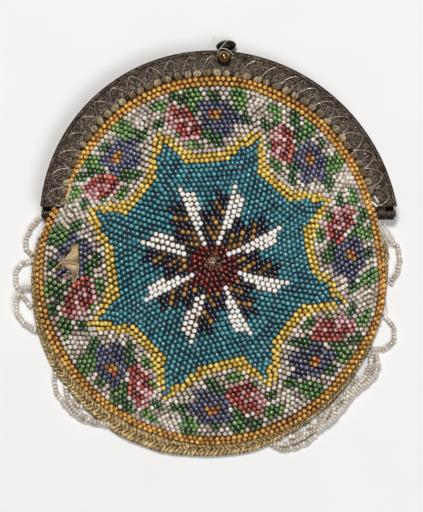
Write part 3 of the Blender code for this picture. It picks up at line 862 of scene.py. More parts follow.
def star_beads():
    """Every bead of a side: colour, x, y and the direction of its hole."""
    found = []
    for n, wedge, i, phi, rho in bead_rows():
        direction, distance = real_place(phi, rho)
        x, y = (unit(direction) * distance * PIXEL)[:2]
        spot = (x / PIXEL, y / PIXEL)
        x += RNG.normal(0, PLACE_SPREAD) * MM
        y += RNG.normal(0, PLACE_SPREAD) * MM
        beyond = under_frame(x, y)
        if n > ROWS and (beyond is None or beyond > -ROW_GAP):
            continue
        if beyond is not None and beyond > HIDDEN_FROM:
            continue
        if beyond is not None and beyond > -FRAME_GAP:
            pull = 1 - (beyond + FRAME_GAP) / math.hypot(x, y)
            x, y = x * pull, y * pull
        colour = bead_colour(n, wedge, i, phi, rho, spot)
        lean = float(np.interp(rho, BEAD_LEAN_PX, BEAD_LEAN_DEG))
        found.append((colour, x, y, direction + lean + RNG.normal(0, TURN_SPREAD)))
    return found


BEAD_PROFILE = ((0.34, -0.86), (0.72, -1.0), (0.93, -0.62), (1.0, 0.0), (0.93, 0.62),
                (0.72, 1.0), (0.34, 0.86))
BEAD_TEMPLATE = lathe(BEAD_PROFILE, 9)
# Painted shade low on each bead's sides, down between its neighbours; a shade below 0 marks it
BEAD_LIMB_SHADE = 1.9 * np.clip(1 - BEAD_TEMPLATE[0][:, 2] / 0.6, 0, 1)
THREAD_TEMPLATE = lathe(((1.0, -1.0), (1.0, 1.0)), 4)


def bead_pieces(side, beads, height, flip):
    """One piece of each colour and the thread that runs through all the beads."""
    threads = Stock()
    placed = {colour: ([], [], [], []) for colour in BEADS}
    for colour, x, y, degrees in beads:
        axes = surface_frame(height, x, y, degrees)
        if flip:
            axes = np.array((-axes[0], axes[1], -axes[2]))
        along = axes[1] + axes[2] * RNG.normal(0, TILT_SPREAD)
        along /= np.linalg.norm(along)
        axes = np.array((axes[0], along, np.cross(axes[0], along)))
        centre = np.array((x, y, height(x, y)))
        radius = BEAD_RADIUS * RNG.uniform(*RADIUS_RANGE)
        length = BEAD_HALF_LENGTH * RNG.uniform(*LENGTH_RANGE)
        shade = RNG.uniform(0, 1)
        for values, value in zip(placed[colour], (centre, axes, (radius, length, radius), shade)):
            values.append(value)
        # Most threads are painted near black, standing in for the shade in the gaps; a random share
        # stays pale
        pale = RNG.uniform() < PALE_SHARES[NET_PAINTED_TONES[colour] > PALE_FROM]
        threads.add_copies(THREAD_TEMPLATE, [centre], [axes], [THREAD_HALVES],
                           [shade if pale else 0.0])
    pieces = []
    for colour in BEADS:
        stock = Stock()
        # Each bead is painted darker low on its sides, as shade between the beads
        stock.add_copies(BEAD_TEMPLATE, *placed[colour], BEAD_LIMB_SHADE)
        pieces.append(stock.piece(f"{side}_beads_{colour}", MATERIALS[colour]))
    made = threads.piece(f"{side}_bead_thread", MATERIALS["thread"], smooth=False)
    return pieces + [made]


def cloth(name, material, radius_of, height, hole=None, shade_at=None, rings=90, steps=240):
    """A sheet inside an outline, at a height, with faces left out over a hole."""
    stock = Stock()
    radii = [radius_of(360 * i / steps) for i in range(steps)]
    points = [(0.0, 0.0, height(0.0, 0.0))]
    for r in range(1, rings + 1):
        for i in range(steps):
            x, y = (unit(360 * i / steps) * radii[i] * r / rings)[:2]
            points.append((x, y, height(x, y)))
    faces = [(0, 1 + i, 1 + (i + 1) % steps) for i in range(steps)]
    for r in range(rings - 1):
        low, high = 1 + r * steps, 1 + (r + 1) * steps
        for i in range(steps):
            j = (i + 1) % steps
            faces.append((low + i, high + i, high + j, low + j))
    if hole:
        faces = [face for face in faces if not in_hole(hole, points[face[0]])]
    shades = np.array([shade_at(p[0], p[1]) for p in points]) if shade_at else 0.5
    stock.add(points, faces, shades)
    made = stock.piece(name, material)
    thick = made.modifiers.new("thickness", "SOLIDIFY")
    thick.thickness = CLOTH_THICKNESS
    thick.offset = 0
    return made


def in_hole(hole, point):
    """Whether a place lies in a hole whose outline is written in pixels."""
    return inside_outline(hole, *to_px(point[0], point[1]))


def hemmed(inset):
    """The radius of a sheet in each direction: inside the beads' edge and the frame."""
    def radius_of(degrees):
        radius = edge_px(degrees) * PIXEL - inset
        beyond = under_frame(*(unit(degrees) * radius)[:2])
        if beyond is not None:
            radius -= beyond + CLEARANCE
        return radius
    return radius_of


def painted_net_tones(beads):
    """The net's painted shade at a place, darkened and tinted like the nearest bead."""
    tree = KDTree(len(beads))
    for k, (_, x, y, _) in enumerate(beads):
        tree.insert((x, y, 0), k)
    tree.balance()

    def tone(x, y):
        return NET_PAINTED_TONES[beads[tree.find((x, y, 0))[1]][0]]
    return tone


# Place of each bead colour on the net's ramp of painted shade: dark, tinted gaps under dark glass
NET_PAINTED_TONES = {"navy": 0.0, "violet": 0.05, "dark_red": 0.2, "rose_red": 0.2, "teal": 0.4,
             "dark_green": 0.6, "mid_green": 0.6, "gold_brown": 0.75, "amber": 0.75,
             "red_orange": 0.75, "salmon": 0.75, "orange": 0.8, "yellow": 0.8, "white": 0.85,
             "pink": 0.95, "ground": 1.0}


def beaded_sides():
    """The front and back of the bag: each a net with its beads."""
    beads = star_beads()
    tone = painted_net_tones(beads)
    on_front = [b for b in beads
                if not in_hole(HOLE_PX, b[1:3]) and not in_hole(LOST_PX, b[1:3])]
    front = bead_pieces("front", on_front, bead_height, False)
    back = bead_pieces("back", beads, lambda x, y: BACK_CENTRE_Z, True)
    # Both nets are painted with the shade and tint of their nearest beads
    front_net = cloth("front_net", MATERIALS["net"], hemmed(NET_INSET),
                      lambda x, y: bead_height(x, y) - CLOTH_BELOW, HOLE_PX, tone)
    back_net = cloth("back_net", MATERIALS["net"], hemmed(NET_INSET),
                     lambda x, y: BACK_CENTRE_Z + CLOTH_BELOW, None, tone)
    for made in (*front, front_net):
        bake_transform(made)
    for made in (*back, back_net):
        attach(made, "back")
    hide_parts("front_panel_lower", "front_panel_fold", "front_panel_upper")
    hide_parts("back_panel")
    return (front_net, *front), (back_net, *back)


def torn_fold(x, y):
    """Folds of the silk in the torn place, which spread from its left: -1 in a crease to 1."""
    px, py = to_px(x, y)
    near = math.exp(-((px - 70) / 13) ** 4 - ((py - 261) / 17) ** 4)
    turn = math.degrees(math.atan2(263.5 - py, max(px - 59, 1.0)))
    fold = bell(turn, 32, 13) + 0.9 * bell(turn, -14, 12)
    return near * (fold - (bell(turn, 3, 5.5) + 0.8 * bell(turn, -45, 14)))


# The linings: how far they end inside the bag's solid and inside the beads, where the front one
# rounds down, their heights, and how high the silk stands in folds and ripples
LINING_INSET = 4.6 * MM
LINING_HEM = 0.8 * MM
LINING_ROUND_INSET = 4.5 * MM
LINING_HEIGHTS = (3.0 * MM, 7.1 * MM)
BACK_LINING_Z = 2.3 * MM
FOLD_HEIGHT = 0.9 * MM
RIPPLE_HEIGHT = 0.12 * MM


def lining_height(x, y):
    """The front lining, with two folds of it standing in the torn place."""
    return front_height(x, y, LINING_ROUND_INSET, *LINING_HEIGHTS) + FOLD_HEIGHT * torn_fold(x, y)


def linings():
    """The two silk linings inside the bag."""
    def radius_of(degrees):
        return min(bag_radius(degrees) - LINING_INSET, hemmed(LINING_HEM)(degrees))

    def back_height(x, y):
        return BACK_LINING_Z + RIPPLE_HEIGHT * math.sin(x * 300) * math.sin(y * 260)

    # The silk is painted darker in the creases of the torn place's folds and lighter on their
    # ridges: painted shade and painted light
    front = cloth("front_lining", MATERIALS["silk"], radius_of, lining_height, None,
                  lambda x, y: clamp(0.6 + 0.5 * torn_fold(x, y)), rings=110, steps=420)
    back = cloth("back_lining_cloth", MATERIALS["silk"], radius_of, back_height)
    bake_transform(front)
    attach(back, "back")
    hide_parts("front_lining_lower", "front_lining_fold", "front_lining_upper")
    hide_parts("back_lining")
    return front, back


# The edge braid and fringe

STRANDS = 5
WIRES = 6
BRAID_STEPS = 812
# The edge's mean radius, for lengths along the plait, and the lengths of a twist and of a crimp
BRAID_MIDDLE_RADIUS = 61 * MM
TWIST_LENGTH = 2.3 * MM
CRIMP_LENGTH = 0.31 * MM
KINK = 0.1 * MM
LEAST_STRAND = 0.3 * MM
# Where the plait is wider: by how many millimetres, in which direction and how far round it
PLAIT_BULGES = ((1.9, 250, 24), (0.9, 214, 20), (0.9, 281, 10))
FRINGE_SPACING = 1.12 * MM
FRINGE_BEAD_RADIUS = 0.92 * MM
FRINGE_BEAD_HALF_LENGTH = 0.55 * MM
FRINGE_THREAD_RADIUS = 0.16 * MM


def braid():
    """A flat plait of five strands, each of six crimped gold wires, along the edge."""
    stock = Stock()
    steps = BRAID_STEPS
    degrees = np.linspace(BRAID_FROM_DEG, BRAID_TO_DEG, steps)
    widths = np.array([plait_width(d) for d in degrees])
    radii = np.array([bag_radius(d) for d in degrees]) + widths / 2
    ways = np.array([unit(d) for d in degrees])
    sweep = math.radians(BRAID_TO_DEG - BRAID_FROM_DEG)
    length = np.linspace(0, sweep * BRAID_MIDDLE_RADIUS, steps)
    strand_radius = np.maximum(widths * 0.16, LEAST_STRAND)
    for k in range(STRANDS):
        turn = 2 * math.pi * (k / STRANDS - length / PLAIT_PITCH)
        wide = (widths / 2 - strand_radius) * np.sin(turn)
        tall = (BRAID_HEIGHT / 2 - strand_radius * 0.8) * np.sin(2 * turn)
        for j in range(WIRES):
            twist = 2 * math.pi * (length / TWIST_LENGTH + j / WIRES + k * 0.37)
            crimp = 1 + 0.25 * np.sin(length / CRIMP_LENGTH + 1.7 * j + k)
            out = strand_radius * 0.62 * crimp
            path = ways * (radii + wide + out * np.cos(twist))[:, None]
            path[:, 2] = CLEARANCE + BRAID_HEIGHT / 2 + tall + out * np.sin(twist)
            kinks = RNG.normal(0, KINK, (steps, 3))
            path += (kinks + np.roll(kinks, 1, axis=0)) / 2
            # A random tone for each wire, plus painted light: lighter where its strand rides on
            # top, painted shade where it dips under the others
            rubbed = RNG.uniform(-0.35, 0.65) + 0.5 * np.sin(2 * turn)
            shades = np.clip(rubbed + RNG.normal(0, 0.25, steps), 0, 1)
            stock.add(*tube(path, strand_radius * 0.4, 4), np.repeat(shades, 4))
    made = stock.piece("gold_braid", MATERIALS["gold"])
    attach(made, "back")
    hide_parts("edge_braid")
    return made


def plait_width(degrees):
    """The plait stands a little proud of the plain solid that it replaces."""
    bulge = sum(size * bell(degrees, middle, spread) for size, middle, spread in PLAIT_BULGES)
    return braid_width(degrees) + CLEARANCE + bulge * MM


def loop_path(level, points):
    """A loop's line, at its level among the loops that cross it."""
    directions, reaches = zip(*points)
    height = STRAND_RADIUS + 0.35 * MM + (FRINGE_LEVEL - 0.4 * MM) * level
    path = []
    for along in np.linspace(0, len(points) - 1, 60):
        degrees = smooth_value(directions, along)
        spot = unit(degrees) * fringe_radius(degrees, smooth_value(reaches, along))
        path.append((spot[0], spot[1], height))
    return np.array(path)


def fringe_loop(name, level, points, node_name=None):
    """A string of small clear beads that winds about its line, with its thread."""
    line = even_path(loop_path(level, points), FRINGE_SPACING)
    path = []
    turn = RNG.uniform(0, 2 * math.pi)
    for spot, way in zip(line, np.gradient(line, axis=0)):
        across = np.cross(way, (0, 0, 1.0))
        across /= np.linalg.norm(across)
        turn += math.radians(RNG.uniform(75, 130))
        path.append(spot + 0.17 * MM * math.cos(turn) * across + (0, 0, 0.1 * MM * math.sin(turn)))
    path = np.array(path)
    stock = Stock()
    frames, sizes, shades = [], [], []
    for way in np.gradient(path, axis=0):
        along = way / np.linalg.norm(way)
        across = np.cross(along, (0, 0, 1.0))
        across /= np.linalg.norm(across)
        frames.append((across, along, np.cross(across, along)))
        radius = FRINGE_BEAD_RADIUS * RNG.uniform(0.88, 1.05)
        sizes.append((radius, FRINGE_BEAD_HALF_LENGTH * RNG.uniform(*LENGTH_RANGE), radius))
        shades.append(RNG.uniform(0, 1))
    stock.add_copies(BEAD_TEMPLATE, path, frames, sizes, shades)
    beads = stock.piece(name + "_beads", MATERIALS["clear"])
    if node_name:
        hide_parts(node_name)
    string = Stock()
    string.add_line(path, 3, FRINGE_THREAD_RADIUS, 6)
    string = string.piece(name + "_thread", MATERIALS["thread"])
    for made in (beads, string):
        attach(made, "back")
    return beads, string


# The frame's relief and sewing

ARCH_COUNT = 23
ARCH_HALF_WIDTH = 3.45 * MM
# One side of an arch: place across as a share of half its width, and inset in millimetres
ARCH_SIDE = ((-1.0, 6.9), (-0.94, 5.7), (-0.79, 4.4), (-0.55, 3.2), (-0.26, 2.25), (0.0, 1.65))
RIB_RADIUS = 0.2 * MM
# How far the middles of ribs, leaves and eyelets stand over their ground, and how far the
# grains are sunk in it
RIB_RISE = 0.04 * MM
LEAF_RISE = 0.05 * MM
EYELET_RISE = 0.02 * MM
GRAIN_SINK = 0.02 * MM
# Leaves of the palmette: lean from the arch's middle in degrees, and length in millimetres
LEAVES = ((0, 2.9), (30, 2.4), (-30, 2.4), (62, 2.0), (-62, 2.0), (88, 1.4), (-88, 1.4))
LEAF_RADII_MM = (0.08, 0.13, 0.17, 0.2, 0.2, 0.15, 0.08)
LEAF_FOOT_INSET = 5.9 * MM
LEAF_BEND = 0.35 * MM
EYELET_HALF_WIDTH = 1.5 * MM
EYELET_RADIUS = 0.15 * MM
# Grains: how many along and across the band, the first row's inset and the space between rows
GRAINS_ALONG = 390
GRAINS_ACROSS = 14
GRAIN_INSET = 0.6 * MM
GRAIN_ROW = 0.42 * MM
TUFT_STRANDS = 11
TUFT_RADIUS = 0.17 * MM
TUFT_LEAST_Z = 0.2 * MM
# A tuft: half its width, its inset at the holes and its length from there, in millimetres, its
# shade, and how far its strands swirl, in degrees
TUFT_HALF_WIDTHS = (1.05, 1.5)
TUFT_INSET = 6.25
TUFT_LENGTH = 2.0
TUFT_TONES = (-0.35, 0.75)
TUFT_SWIRLS = (10, 50)


def band_point(share, inset, z):
    """A point on a frame half, at a share of the way along it."""
    x, y = frame_point(share, inset)
    return np.array((x, y, z))


def face_height(depth, front):
    """Height of a place sunk by a depth into the front's or the back's face."""
    return FACE_Z - depth if front else depth


def leaf(stock, centre, lean, length, front):
    """A drop-shaped leaf on the band's field."""
    foot = np.array((0.0, LEAF_FOOT_INSET))
    way = np.array((math.sin(math.radians(lean)), -math.cos(math.radians(lean))))
    z = face_height(FIELD_DROP - LEAF_RISE, front)
    path = []
    for t in np.linspace(0.15, 1, 7):
        bend = LEAF_BEND * math.copysign(t * t, lean) if lean else 0.0
        spot = foot + way * length * t + np.array((bend, 0.0))
        path.append(band_point(centre + spot[0] / ARCH_HALF_WIDTH * 0.5 / ARCH_COUNT, spot[1], z))
    stock.add(*tube(path, np.array(LEAF_RADII_MM) * MM, 6, 0.8))


def arch(ribs, leaves, centre, front):
    """A pointed arch of two ribs, with a palmette in it."""
    z = face_height(FIELD_DROP - RIB_RISE, front)
    half = 0.5 / ARCH_COUNT * 0.97
    outline = [(s * half, d) for s, d in ARCH_SIDE]
    outline += [(-s * half, d) for s, d in reversed(ARCH_SIDE[:-1])]
    for part in (outline[:6], outline[5:]):
        ribs.add_line([band_point(centre + s, d * MM, z) for s, d in part], 4, RIB_RADIUS, 6)
    for lean, length in LEAVES:
        leaf(leaves, centre, lean, length * MM, front)


def eyelet(stock, centre, front):
    """A raised arc round a sewing hole, open towards the bag."""
    path = []
    for t in np.linspace(-100, 100, 15):
        across = math.sin(math.radians(t)) * EYELET_HALF_WIDTH / FRAME_LENGTH
        inset = (6.7 - 1.55 * math.cos(math.radians(t))) * MM
        drop = FIELD_DROP if inset < BAND_WIDTH - BORDER_WIDTH else 0.0
        z = face_height(drop - EYELET_RISE, front)
        path.append(band_point(centre + across, inset, z))
    stock.add(*tube(path, EYELET_RADIUS, 5, 0.9))


def grains(front):
    """The ground's grains: low five-sided points in uneven rows."""
    dome = [(math.cos(2 * math.pi * i / 5), math.sin(2 * math.pi * i / 5), 0.0) for i in range(5)]
    template = np.array(dome + [(0.0, 0.0, 1.0)]), [(i, (i + 1) % 5, 5) for i in range(5)]
    centres, sizes = [], []
    for i in range(GRAINS_ALONG):
        for j in range(GRAINS_ACROSS):
            share = (i + 0.5 + RNG.uniform(-0.35, 0.35)) / GRAINS_ALONG
            inset = GRAIN_INSET + (j + RNG.uniform(-0.35, 0.35)) * GRAIN_ROW
            drop = (FIELD_DROP if inset > BORDER_WIDTH else 0.0) + GRAIN_SINK
            centres.append(band_point(share, inset, face_height(drop, front)))
            size = RNG.uniform(0.13, 0.22) * MM
            sizes.append((size, size, RNG.uniform(0.1, 0.17) * MM))
    up = [np.eye(3) if front else np.diag((1.0, -1.0, -1.0))] * len(centres)
    stock = Stock()
    stock.add_copies(template, centres, up, sizes, RNG.uniform(0, 1, len(centres)))
    return stock


def relief(front):
    """Pointed arches, each with a palmette, on a ground of fine grains."""
    body = "front" if front else "back"
    ribs, leaves = Stock(), Stock()
    for i in range(ARCH_COUNT):
        arch(ribs, leaves, (i + 0.5) / ARCH_COUNT, front)
    for i in range(HOLE_COUNT):
        eyelet(leaves, (i + 0.5) / HOLE_COUNT, front)
    for stock, name, material in ((ribs, "arches", "rubbed"), (leaves, "leaves", "worn"),
                                  (grains(front), "grains", "grain")):
        made = stock.piece(f"{body}_frame_{name}", MATERIALS[material])
        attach(made, body)


def sewing(front):
    """Tufts of thread over the band's inner edge, each swelling between its hole and the beads."""
    stock = Stock()
    for i in range(HOLE_COUNT):
        share = (i + 0.5 + RNG.normal(0, 0.07)) / HOLE_COUNT
        half_width = RNG.uniform(*TUFT_HALF_WIDTHS)
        tone = RNG.uniform(*TUFT_TONES)
        drift = RNG.normal(0, 0.15)
        skew = RNG.normal(0, 0.35)
        swirl = RNG.choice((-1, 1)) * RNG.uniform(*TUFT_SWIRLS)
        for lie in np.linspace(-80, 80, TUFT_STRANDS):
            path = []
            for t in np.linspace(0, 1, 9):
                swell = math.sin(math.pi * (0.1 + 0.8 * t)) ** 0.6
                turn = math.radians(lie + RNG.normal(0, 4) + swirl * (t - 0.5))
                offset = skew * (t - 0.5) + half_width * swell * math.sin(turn)
                depth = 0.35 - 0.8 * swell * math.cos(turn) + 0.9 * t ** 4
                z = max(face_height(depth * MM, front), TUFT_LEAST_Z)
                inset = (TUFT_INSET + drift * (1 - t) + TUFT_LENGTH * t) * MM
                path.append(band_point(share + offset * MM / FRAME_LENGTH, inset, z))
            stock.add_line(path, 2, TUFT_RADIUS, 5, clamp(tone + RNG.normal(0, 0.55)))
    body = "front" if front else "back"
    made = stock.piece(f"{body}_sewing_thread", MATERIALS["stitch"])
    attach(made, body)


# The clasp

# Radius and height of the collar's outline, and radius and place of the button's neck, in
# millimetres
COLLAR_MM = ((0.5, -1.9), (2.1, 0.0), (2.2, 0.25), (2.15, 0.6), (1.85, 0.85), (1.5, 1.0),
             (1.3, 1.5))
NECK_MM = ((0.9, -2.35), (0.75, -1.9), (0.9, -1.2))
BALL_RADIUS = 1.87 * MM
BALL_RISE = (1.1 + 1.85) * MM
BALL_INSET = 2.1 * MM
BALL_LEAN = 0.9 * MM
BUTTON_HALVES = (3.3 * MM, 1.78 * MM, 2.0 * MM)
BUTTON_INSET = 1.75 * MM
BUTTON_TILT_DEG = 7
UPRIGHT = np.array(((1, 0, 0), (0, 0, 1), (0, -1, 0)), float)


def turned(name, profile, sides, centre, axes, material):
    """A piece turned on a lathe, placed by the axes of its width, length and height."""
    stock = Stock()
    points, faces = lathe(profile, sides)
    stock.add(centre + points @ axes, faces)
    return stock.piece(name, material)


def arc(radius, low, high, count):
    """Points of a round profile between two angles, for the lathe."""
    turns = np.radians(np.linspace(low, high, count))
    return [(radius * math.cos(t), radius * math.sin(t)) for t in turns]


def in_metres(points):
    return [tuple(value * MM for value in point) for point in points]


def clasp():
    """The ball on its collar on the front half, and the button on its neck on the back half."""
    low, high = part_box("front_clasp_knob")
    foot = np.array(((low.x + high.x) / 2, low.y + BALL_INSET, FACE_Z + CLEARANCE))
    lean = np.array((0.0, BALL_LEAN, 0.0))
    ball = turned("clasp_ball", arc(BALL_RADIUS, -62, 90, 22)[:-1], 40,
                  foot + lean + np.array((0, 0, BALL_RISE)), UPRIGHT, MATERIALS["brass"])
    ring = turned("clasp_collar", in_metres(COLLAR_MM), 40, foot + lean * 0.25, UPRIGHT,
                  MATERIALS["pin"])
    for made in (ball, ring):
        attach(made, "front")
    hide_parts("front_clasp_knob")
    low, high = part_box("rear_clasp_knob")
    centre = np.array(((low.x + high.x) / 2, high.y - BUTTON_INSET, (low.z + high.z) / 2))
    wide, thick, tall = BUTTON_HALVES
    tilt = math.radians(BUTTON_TILT_DEG)
    axes = np.array(((math.cos(tilt) * wide, math.sin(tilt) * wide, 0),
                     (-math.sin(tilt) * thick, math.cos(tilt) * thick, 0), (0, 0, tall)))
    stock = Stock()
    for profile, sides, placing in ((arc(1.0, -84, 84, 19), 40, axes),
                                    (in_metres(NECK_MM), 24, np.eye(3))):
        points, faces = lathe(profile, sides)
        stock.add(centre + points @ placing, faces)
    button = stock.piece("clasp_button", MATERIALS["button"])
    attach(button, "back")
    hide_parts("rear_clasp_knob")


# Loose threads

# Places of the threads are in pixels, with a height in millimetres where it is given
HAIRS = (
    ("hair_loop", "front", 0.1, "hair",
     ((233.7, 55.5, 10.6), (230, 52, 12.2), (226.7, 50.0, 13.0), (222.5, 49.2, 13.0),
      (219.6, 49.7, 12.6), (217.8, 53.3, 11.6), (217.6, 56.5, 10.4))),
    ("hair_straight", "front", 0.085, "hair",
     ((219.6, 49.7, 12.5), (222.6, 45.8, 10.5), (226, 41.7, 8.6), (231.4, 36.8, 6.6))),
    ("hair_fine", "front", 0.05, "stitch",
     ((215.5, 34, 1.0), (213, 38.6, 3.0), (208.5, 47.5, 8.0), (207, 53, 9.7))),
    ("edge_thread_right", "back", 0.14, "stitch",
     ((384, 237, 2.4), (388, 245.5, 1.4), (391, 258, 0.5), (388.5, 257.5, 0.4),
      (384, 255, 1.6))),
    ("edge_thread_low", "back", 0.12, "stitch",
     ((384.5, 291, 1.6), (387, 302, 0.5), (389, 314, 0.4))),
    ("edge_thread_bottom", "back", 0.13, "stitch",
     ((268, 432, 2.8), (273, 439, 1.2), (277, 447, 0.4), (284, 452, 0.5))),
)
HINGE_ENDS = (
    (0.3, ((374.3, 196.2, 9.75), (376.2, 199.3, 10.0), (378.3, 202.7, 9.8))),
    (0.42, ((371.2, 201.4, 9.3), (374.0, 203.6, 9.6), (377.0, 206.4, 9.2))),
)
TORN_THREADS = (
    ((54.5, 268.5), (60, 263.5), (66, 262.5), (73, 262.5), (77.5, 264.5), (78, 271), (75, 282)),
    ((56, 267), (62, 261), (67, 257), (74, 249)),
    ((57.5, 274), (61.5, 270), (62.5, 266), (61.5, 263)),
    ((57, 284), (62.5, 284), (66, 279), (65, 274), (71, 276)),
    ((60, 281), (64, 278), (69, 277.5), (72, 275.5)),
    ((59, 256), (63, 260), (65, 264.5)),
    ((198.5, 311), (197.5, 317), (195.8, 323)),
)
FRAYED_COUNT = 26
CENTRE_COUNT = 11
CENTRE_PX = np.array((1.4, 0.6, 0))


def placed_path(points):
    return [point_px(x, y, z * MM) for x, y, z in points]


def single_hairs():
    """Hairs at the clasp and broken threads along the edge, one piece each."""
    for name, body, radius, material, points in HAIRS:
        stock = Stock()
        stock.add_line(placed_path(points), 6, radius * MM, 6)
        made = stock.piece(name, MATERIALS[material])
        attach(made, body)


def frayed_silk():
    """Pale silk that hangs out in a fan below the right hinge."""
    stock = Stock()
    for _ in range(FRAYED_COUNT):
        share = RNG.uniform(0, 1)
        start = np.array((372.5 + 4.5 * share, 208 + 8 * RNG.uniform(0, 1)))
        end = np.array((384 + 13.5 * share ** 1.3, 236 + RNG.uniform(0, 13)))
        path = []
        for t in np.linspace(0, 1, 6):
            bow = 3.2 * (1 - share) * math.sin(math.pi * t) + RNG.normal(0, 0.35)
            x, y = start + (end - start) * t
            path.append(point_px(x - bow, y, (5.2 - 4.2 * t + RNG.normal(0, 0.25)) * MM))
        stock.add_line(path, 4, 0.09 * MM, 4, float(RNG.uniform(0.5, 1)))
    made = stock.piece("frayed_silk", MATERIALS["hair"])
    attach(made, "back")


def hinge_thread_ends():
    """Two thick ends of thread at the right hinge."""
    stock = Stock()
    for radius, points in HINGE_ENDS:
        stock.add_line(placed_path(points), 5, radius * MM, 7, 0.8)
    made = stock.piece("hinge_thread_ends", MATERIALS["hair"])
    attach(made, "front")


def centre_threads():
    """Short threads that curl out of the star's middle."""
    stock = Stock()
    for i in range(CENTRE_COUNT):
        turn = 360 * i / CENTRE_COUNT + RNG.uniform(-9, 9)
        reach = RNG.uniform(5, 12)
        path = []
        for t in np.linspace(0.06, 1, 7):
            x, y, _ = unit(turn + 70 * t) * reach * t * PIXEL + CENTRE_PX * PIXEL
            path.append((x, y, bead_height(x, y) + (0.8 - 0.45 * t * t) * MM))
        stock.add_line(path, 3, 0.08 * MM, 5, 0.7)
    made = stock.piece("centre_threads", MATERIALS["thread"])
    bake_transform(made)


def torn_threads():
    """Broken threads across the torn place and the lost beads, just over the beads."""
    stock = Stock()
    for points in TORN_THREADS:
        path = []
        for px, py in points:
            x, y, _ = point_px(px, py, 0)
            path.append((x, y, bead_height(x, y) + RNG.uniform(0.5, 1.1) * MM))
        stock.add_line(path, 6, 0.14 * MM, 5, float(RNG.uniform(0.6, 1)))
    made = stock.piece("torn_threads", MATERIALS["tan"])
    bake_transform(made)


# The room

FLOOR_HALF = 1.0
FLOOR_STEPS = 24
FLOOR_Z = -0.02 * MM
# The world's strength near the horizon and overhead, and the heights between which it changes
WORLD_STRENGTHS = (0.75, 0.05)
WORLD_HEIGHTS = (0.12, 0.3)
WORLD_COLOUR = (1, 0.995, 0.985, 1)
# Name, place, size in metres, power in watts and colour
LAMPS = (
    ("key", (-0.18, 0.88, 2.0), 0.56, 32.8, (1.0, 0.988, 0.972)),
    ("overhead", (0.62, -0.6, 1.95), 1.1, 16.3, (0.975, 0.987, 1.0)),
)


def paper():
    """A wide sheet of paper just under the purse."""
    spots = np.linspace(-FLOOR_HALF, FLOOR_HALF, FLOOR_STEPS + 1)
    points = [(x, y, FLOOR_Z) for y in spots for x in spots]
    faces = []
    for j in range(FLOOR_STEPS):
        for i in range(FLOOR_STEPS):
            a = j * (FLOOR_STEPS + 1) + i
            faces.append((a, a + 1, a + FLOOR_STEPS + 2, a + FLOOR_STEPS + 1))
    stock = Stock()
    stock.add(points, faces)
    floor = stock.piece("floor", MATERIALS["floor"], smooth=False)
    floor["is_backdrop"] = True


def lights():
    """A soft world that is brighter near the horizon, and two round lamps."""
    world = bpy.data.worlds.new("studio")
    bpy.context.scene.world = world
    world.use_nodes = True
    tree = world.node_tree
    way = node(tree, "ShaderNodeTexCoord").outputs["Generated"]
    height = node(tree, "ShaderNodeSeparateXYZ", {"Vector": way}).outputs["Z"]
    strength = map_range(tree, height, *WORLD_HEIGHTS, *WORLD_STRENGTHS)
    set_values(tree.nodes["Background"], tree, {"Color": WORLD_COLOUR, "Strength": strength})
    for name, place, size, power, colour in LAMPS:
        lamp = bpy.data.lights.new(name, "AREA")
        lamp.shape = "DISK"
        lamp.size = size
        lamp.energy = power
        lamp.color = colour
        made = linked(name, lamp)
        made.location = place
        made.rotation_euler = (-Vector(place)).to_track_quat("-Z", "Y").to_euler()


def view():
    """The camera of the photograph, straight above."""
    camera = linked("camera", bpy.data.cameras.new("camera"))
    camera.data.sensor_width = SENSOR_MM
    camera.data.lens = SENSOR_MM * CAMERA_HEIGHT / (PICTURE_PX * PIXEL)
    camera.data.clip_end = 10
    camera.location = (*CAMERA_XY, FRONT_TOP + CAMERA_HEIGHT)
    bpy.context.scene.camera = camera
    bpy.context.scene.view_settings.view_transform = "Standard"


def plain_floor(name):
    """Matt pale paper with a faint tooth."""
    made, tree, shader = new_material(name)
    tone = map_range(tree, noise(tree, 30, 3), 0.3, 0.7)
    colour = mix(tree, tone, (0.885, 0.885, 0.875, 1), (0.905, 0.905, 0.9, 1))
    set_values(shader, tree, {"Base Color": colour, "Roughness": 0.95,
                              "Specular IOR Level": 0.0})
    return made


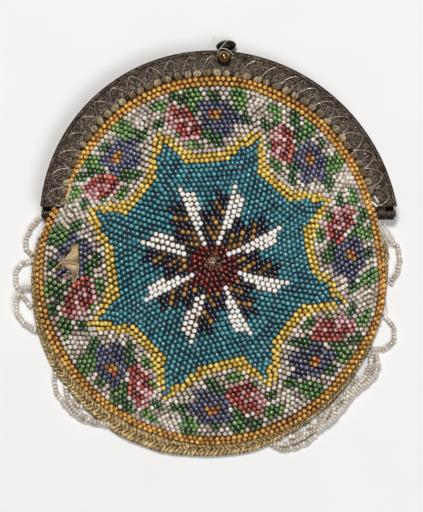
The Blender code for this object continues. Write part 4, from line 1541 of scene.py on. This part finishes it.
MATERIALS = {name: glass("glass_" + name, dark, light, roughness, coat)
             for name, (dark, light, roughness, coat) in BEADS.items()}
MATERIALS.update({
    "thread": thread("bead_thread", (30, 26, 26), (196, 160, 112)),
    "stitch": thread("sewing_thread", (66, 46, 24), (208, 186, 146)),
    "hair": thread("pale_thread", (206, 196, 180), (248, 242, 230)),
    "tan": thread("tan_thread", (150, 112, 66), (232, 200, 150)),
    # The net's tones: painted shade between the beads, tinted like the nearest glass
    "net": knit("net", (196, 190, 180), (255, 250, 240), 900, painted_tones=(
        (0.0, (12, 9, 14)), (0.2, (44, 12, 9)), (0.4, (20, 56, 66)),
        (0.6, (22, 44, 24)), (0.8, (88, 60, 26)), (1.0, (102, 82, 54)))),
    # The silk's tones: painted shade in the creases of its folds, lighter on their ridges
    "silk": knit("silk", (140, 108, 66), (232, 208, 166), 1300, 0.5, painted_tones=(
        (0.0, (104, 84, 62)), (1.0, (255, 253, 250)))),
    "gold": thread("gold_thread", (72, 50, 22), (240, 212, 154), 0.3, 0.55),
    "clear": glass("glass_clear", (196, 181, 162), (248, 240, 226), 0.16, 0.8, 0.15),
    "frame": old_metal("frame_metal", (17, 14, 12), (116, 102, 88), 0.5, 2200, 0.9),
    "grain": old_metal("frame_grain", (28, 22, 19), (186, 166, 144), 0.4, 1300, 0.3),
    "rubbed": old_metal("rubbed_metal", (104, 96, 88), (224, 214, 200), 0.36, 1600, 0.3),
    "worn": old_metal("worn_metal", (74, 66, 58), (192, 180, 164), 0.4, 1600, 0.3),
    "pin": old_metal("pin_metal", (38, 32, 28), (100, 88, 76), 0.4, 1800, 0.3),
    "brass": old_metal("ball_brass", (120, 94, 56), (174, 144, 96), 0.3, 700, 0.05),
    "button": old_metal("button_metal", (40, 34, 30), (96, 86, 76), 0.48, 900, 0.3),
    "floor": plain_floor("floor_paper"),
})


def dress_metal():
    """The rigid CAD nodes keep their shape and get the procedural metals."""
    for name, material in (("back_frame", "frame"), ("front_frame", "frame"),
                           ("hinge_pin_left", "pin"), ("hinge_pin_right", "pin")):
        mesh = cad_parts[name].data
        mesh.materials.clear()
        mesh.materials.append(MATERIALS[material])


paper()
lights()
view()
dress_metal()
front_side, back_side = beaded_sides()
front_lining, back_lining = linings()
trims = [braid()]
for loop_name, loop_level, loop_points in FRINGE_LOOPS:
    trims.extend(fringe_loop(loop_name, loop_level, loop_points, loop_name))
for number, (loop_level, loop_points) in enumerate(INNER_STRANDS):
    trims.extend(fringe_loop(f"fringe_strand_{number + 1}", loop_level, loop_points))
for is_front in (True, False):
    relief(is_front)
    sewing(is_front)
clasp()
single_hairs()
frayed_silk()
hinge_thread_ends()
centre_threads()
torn_threads()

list(back_side[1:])
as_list(front_side[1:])

SIZES = [[list(corner) for corner in box] for box in (CAD_BOX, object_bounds())]
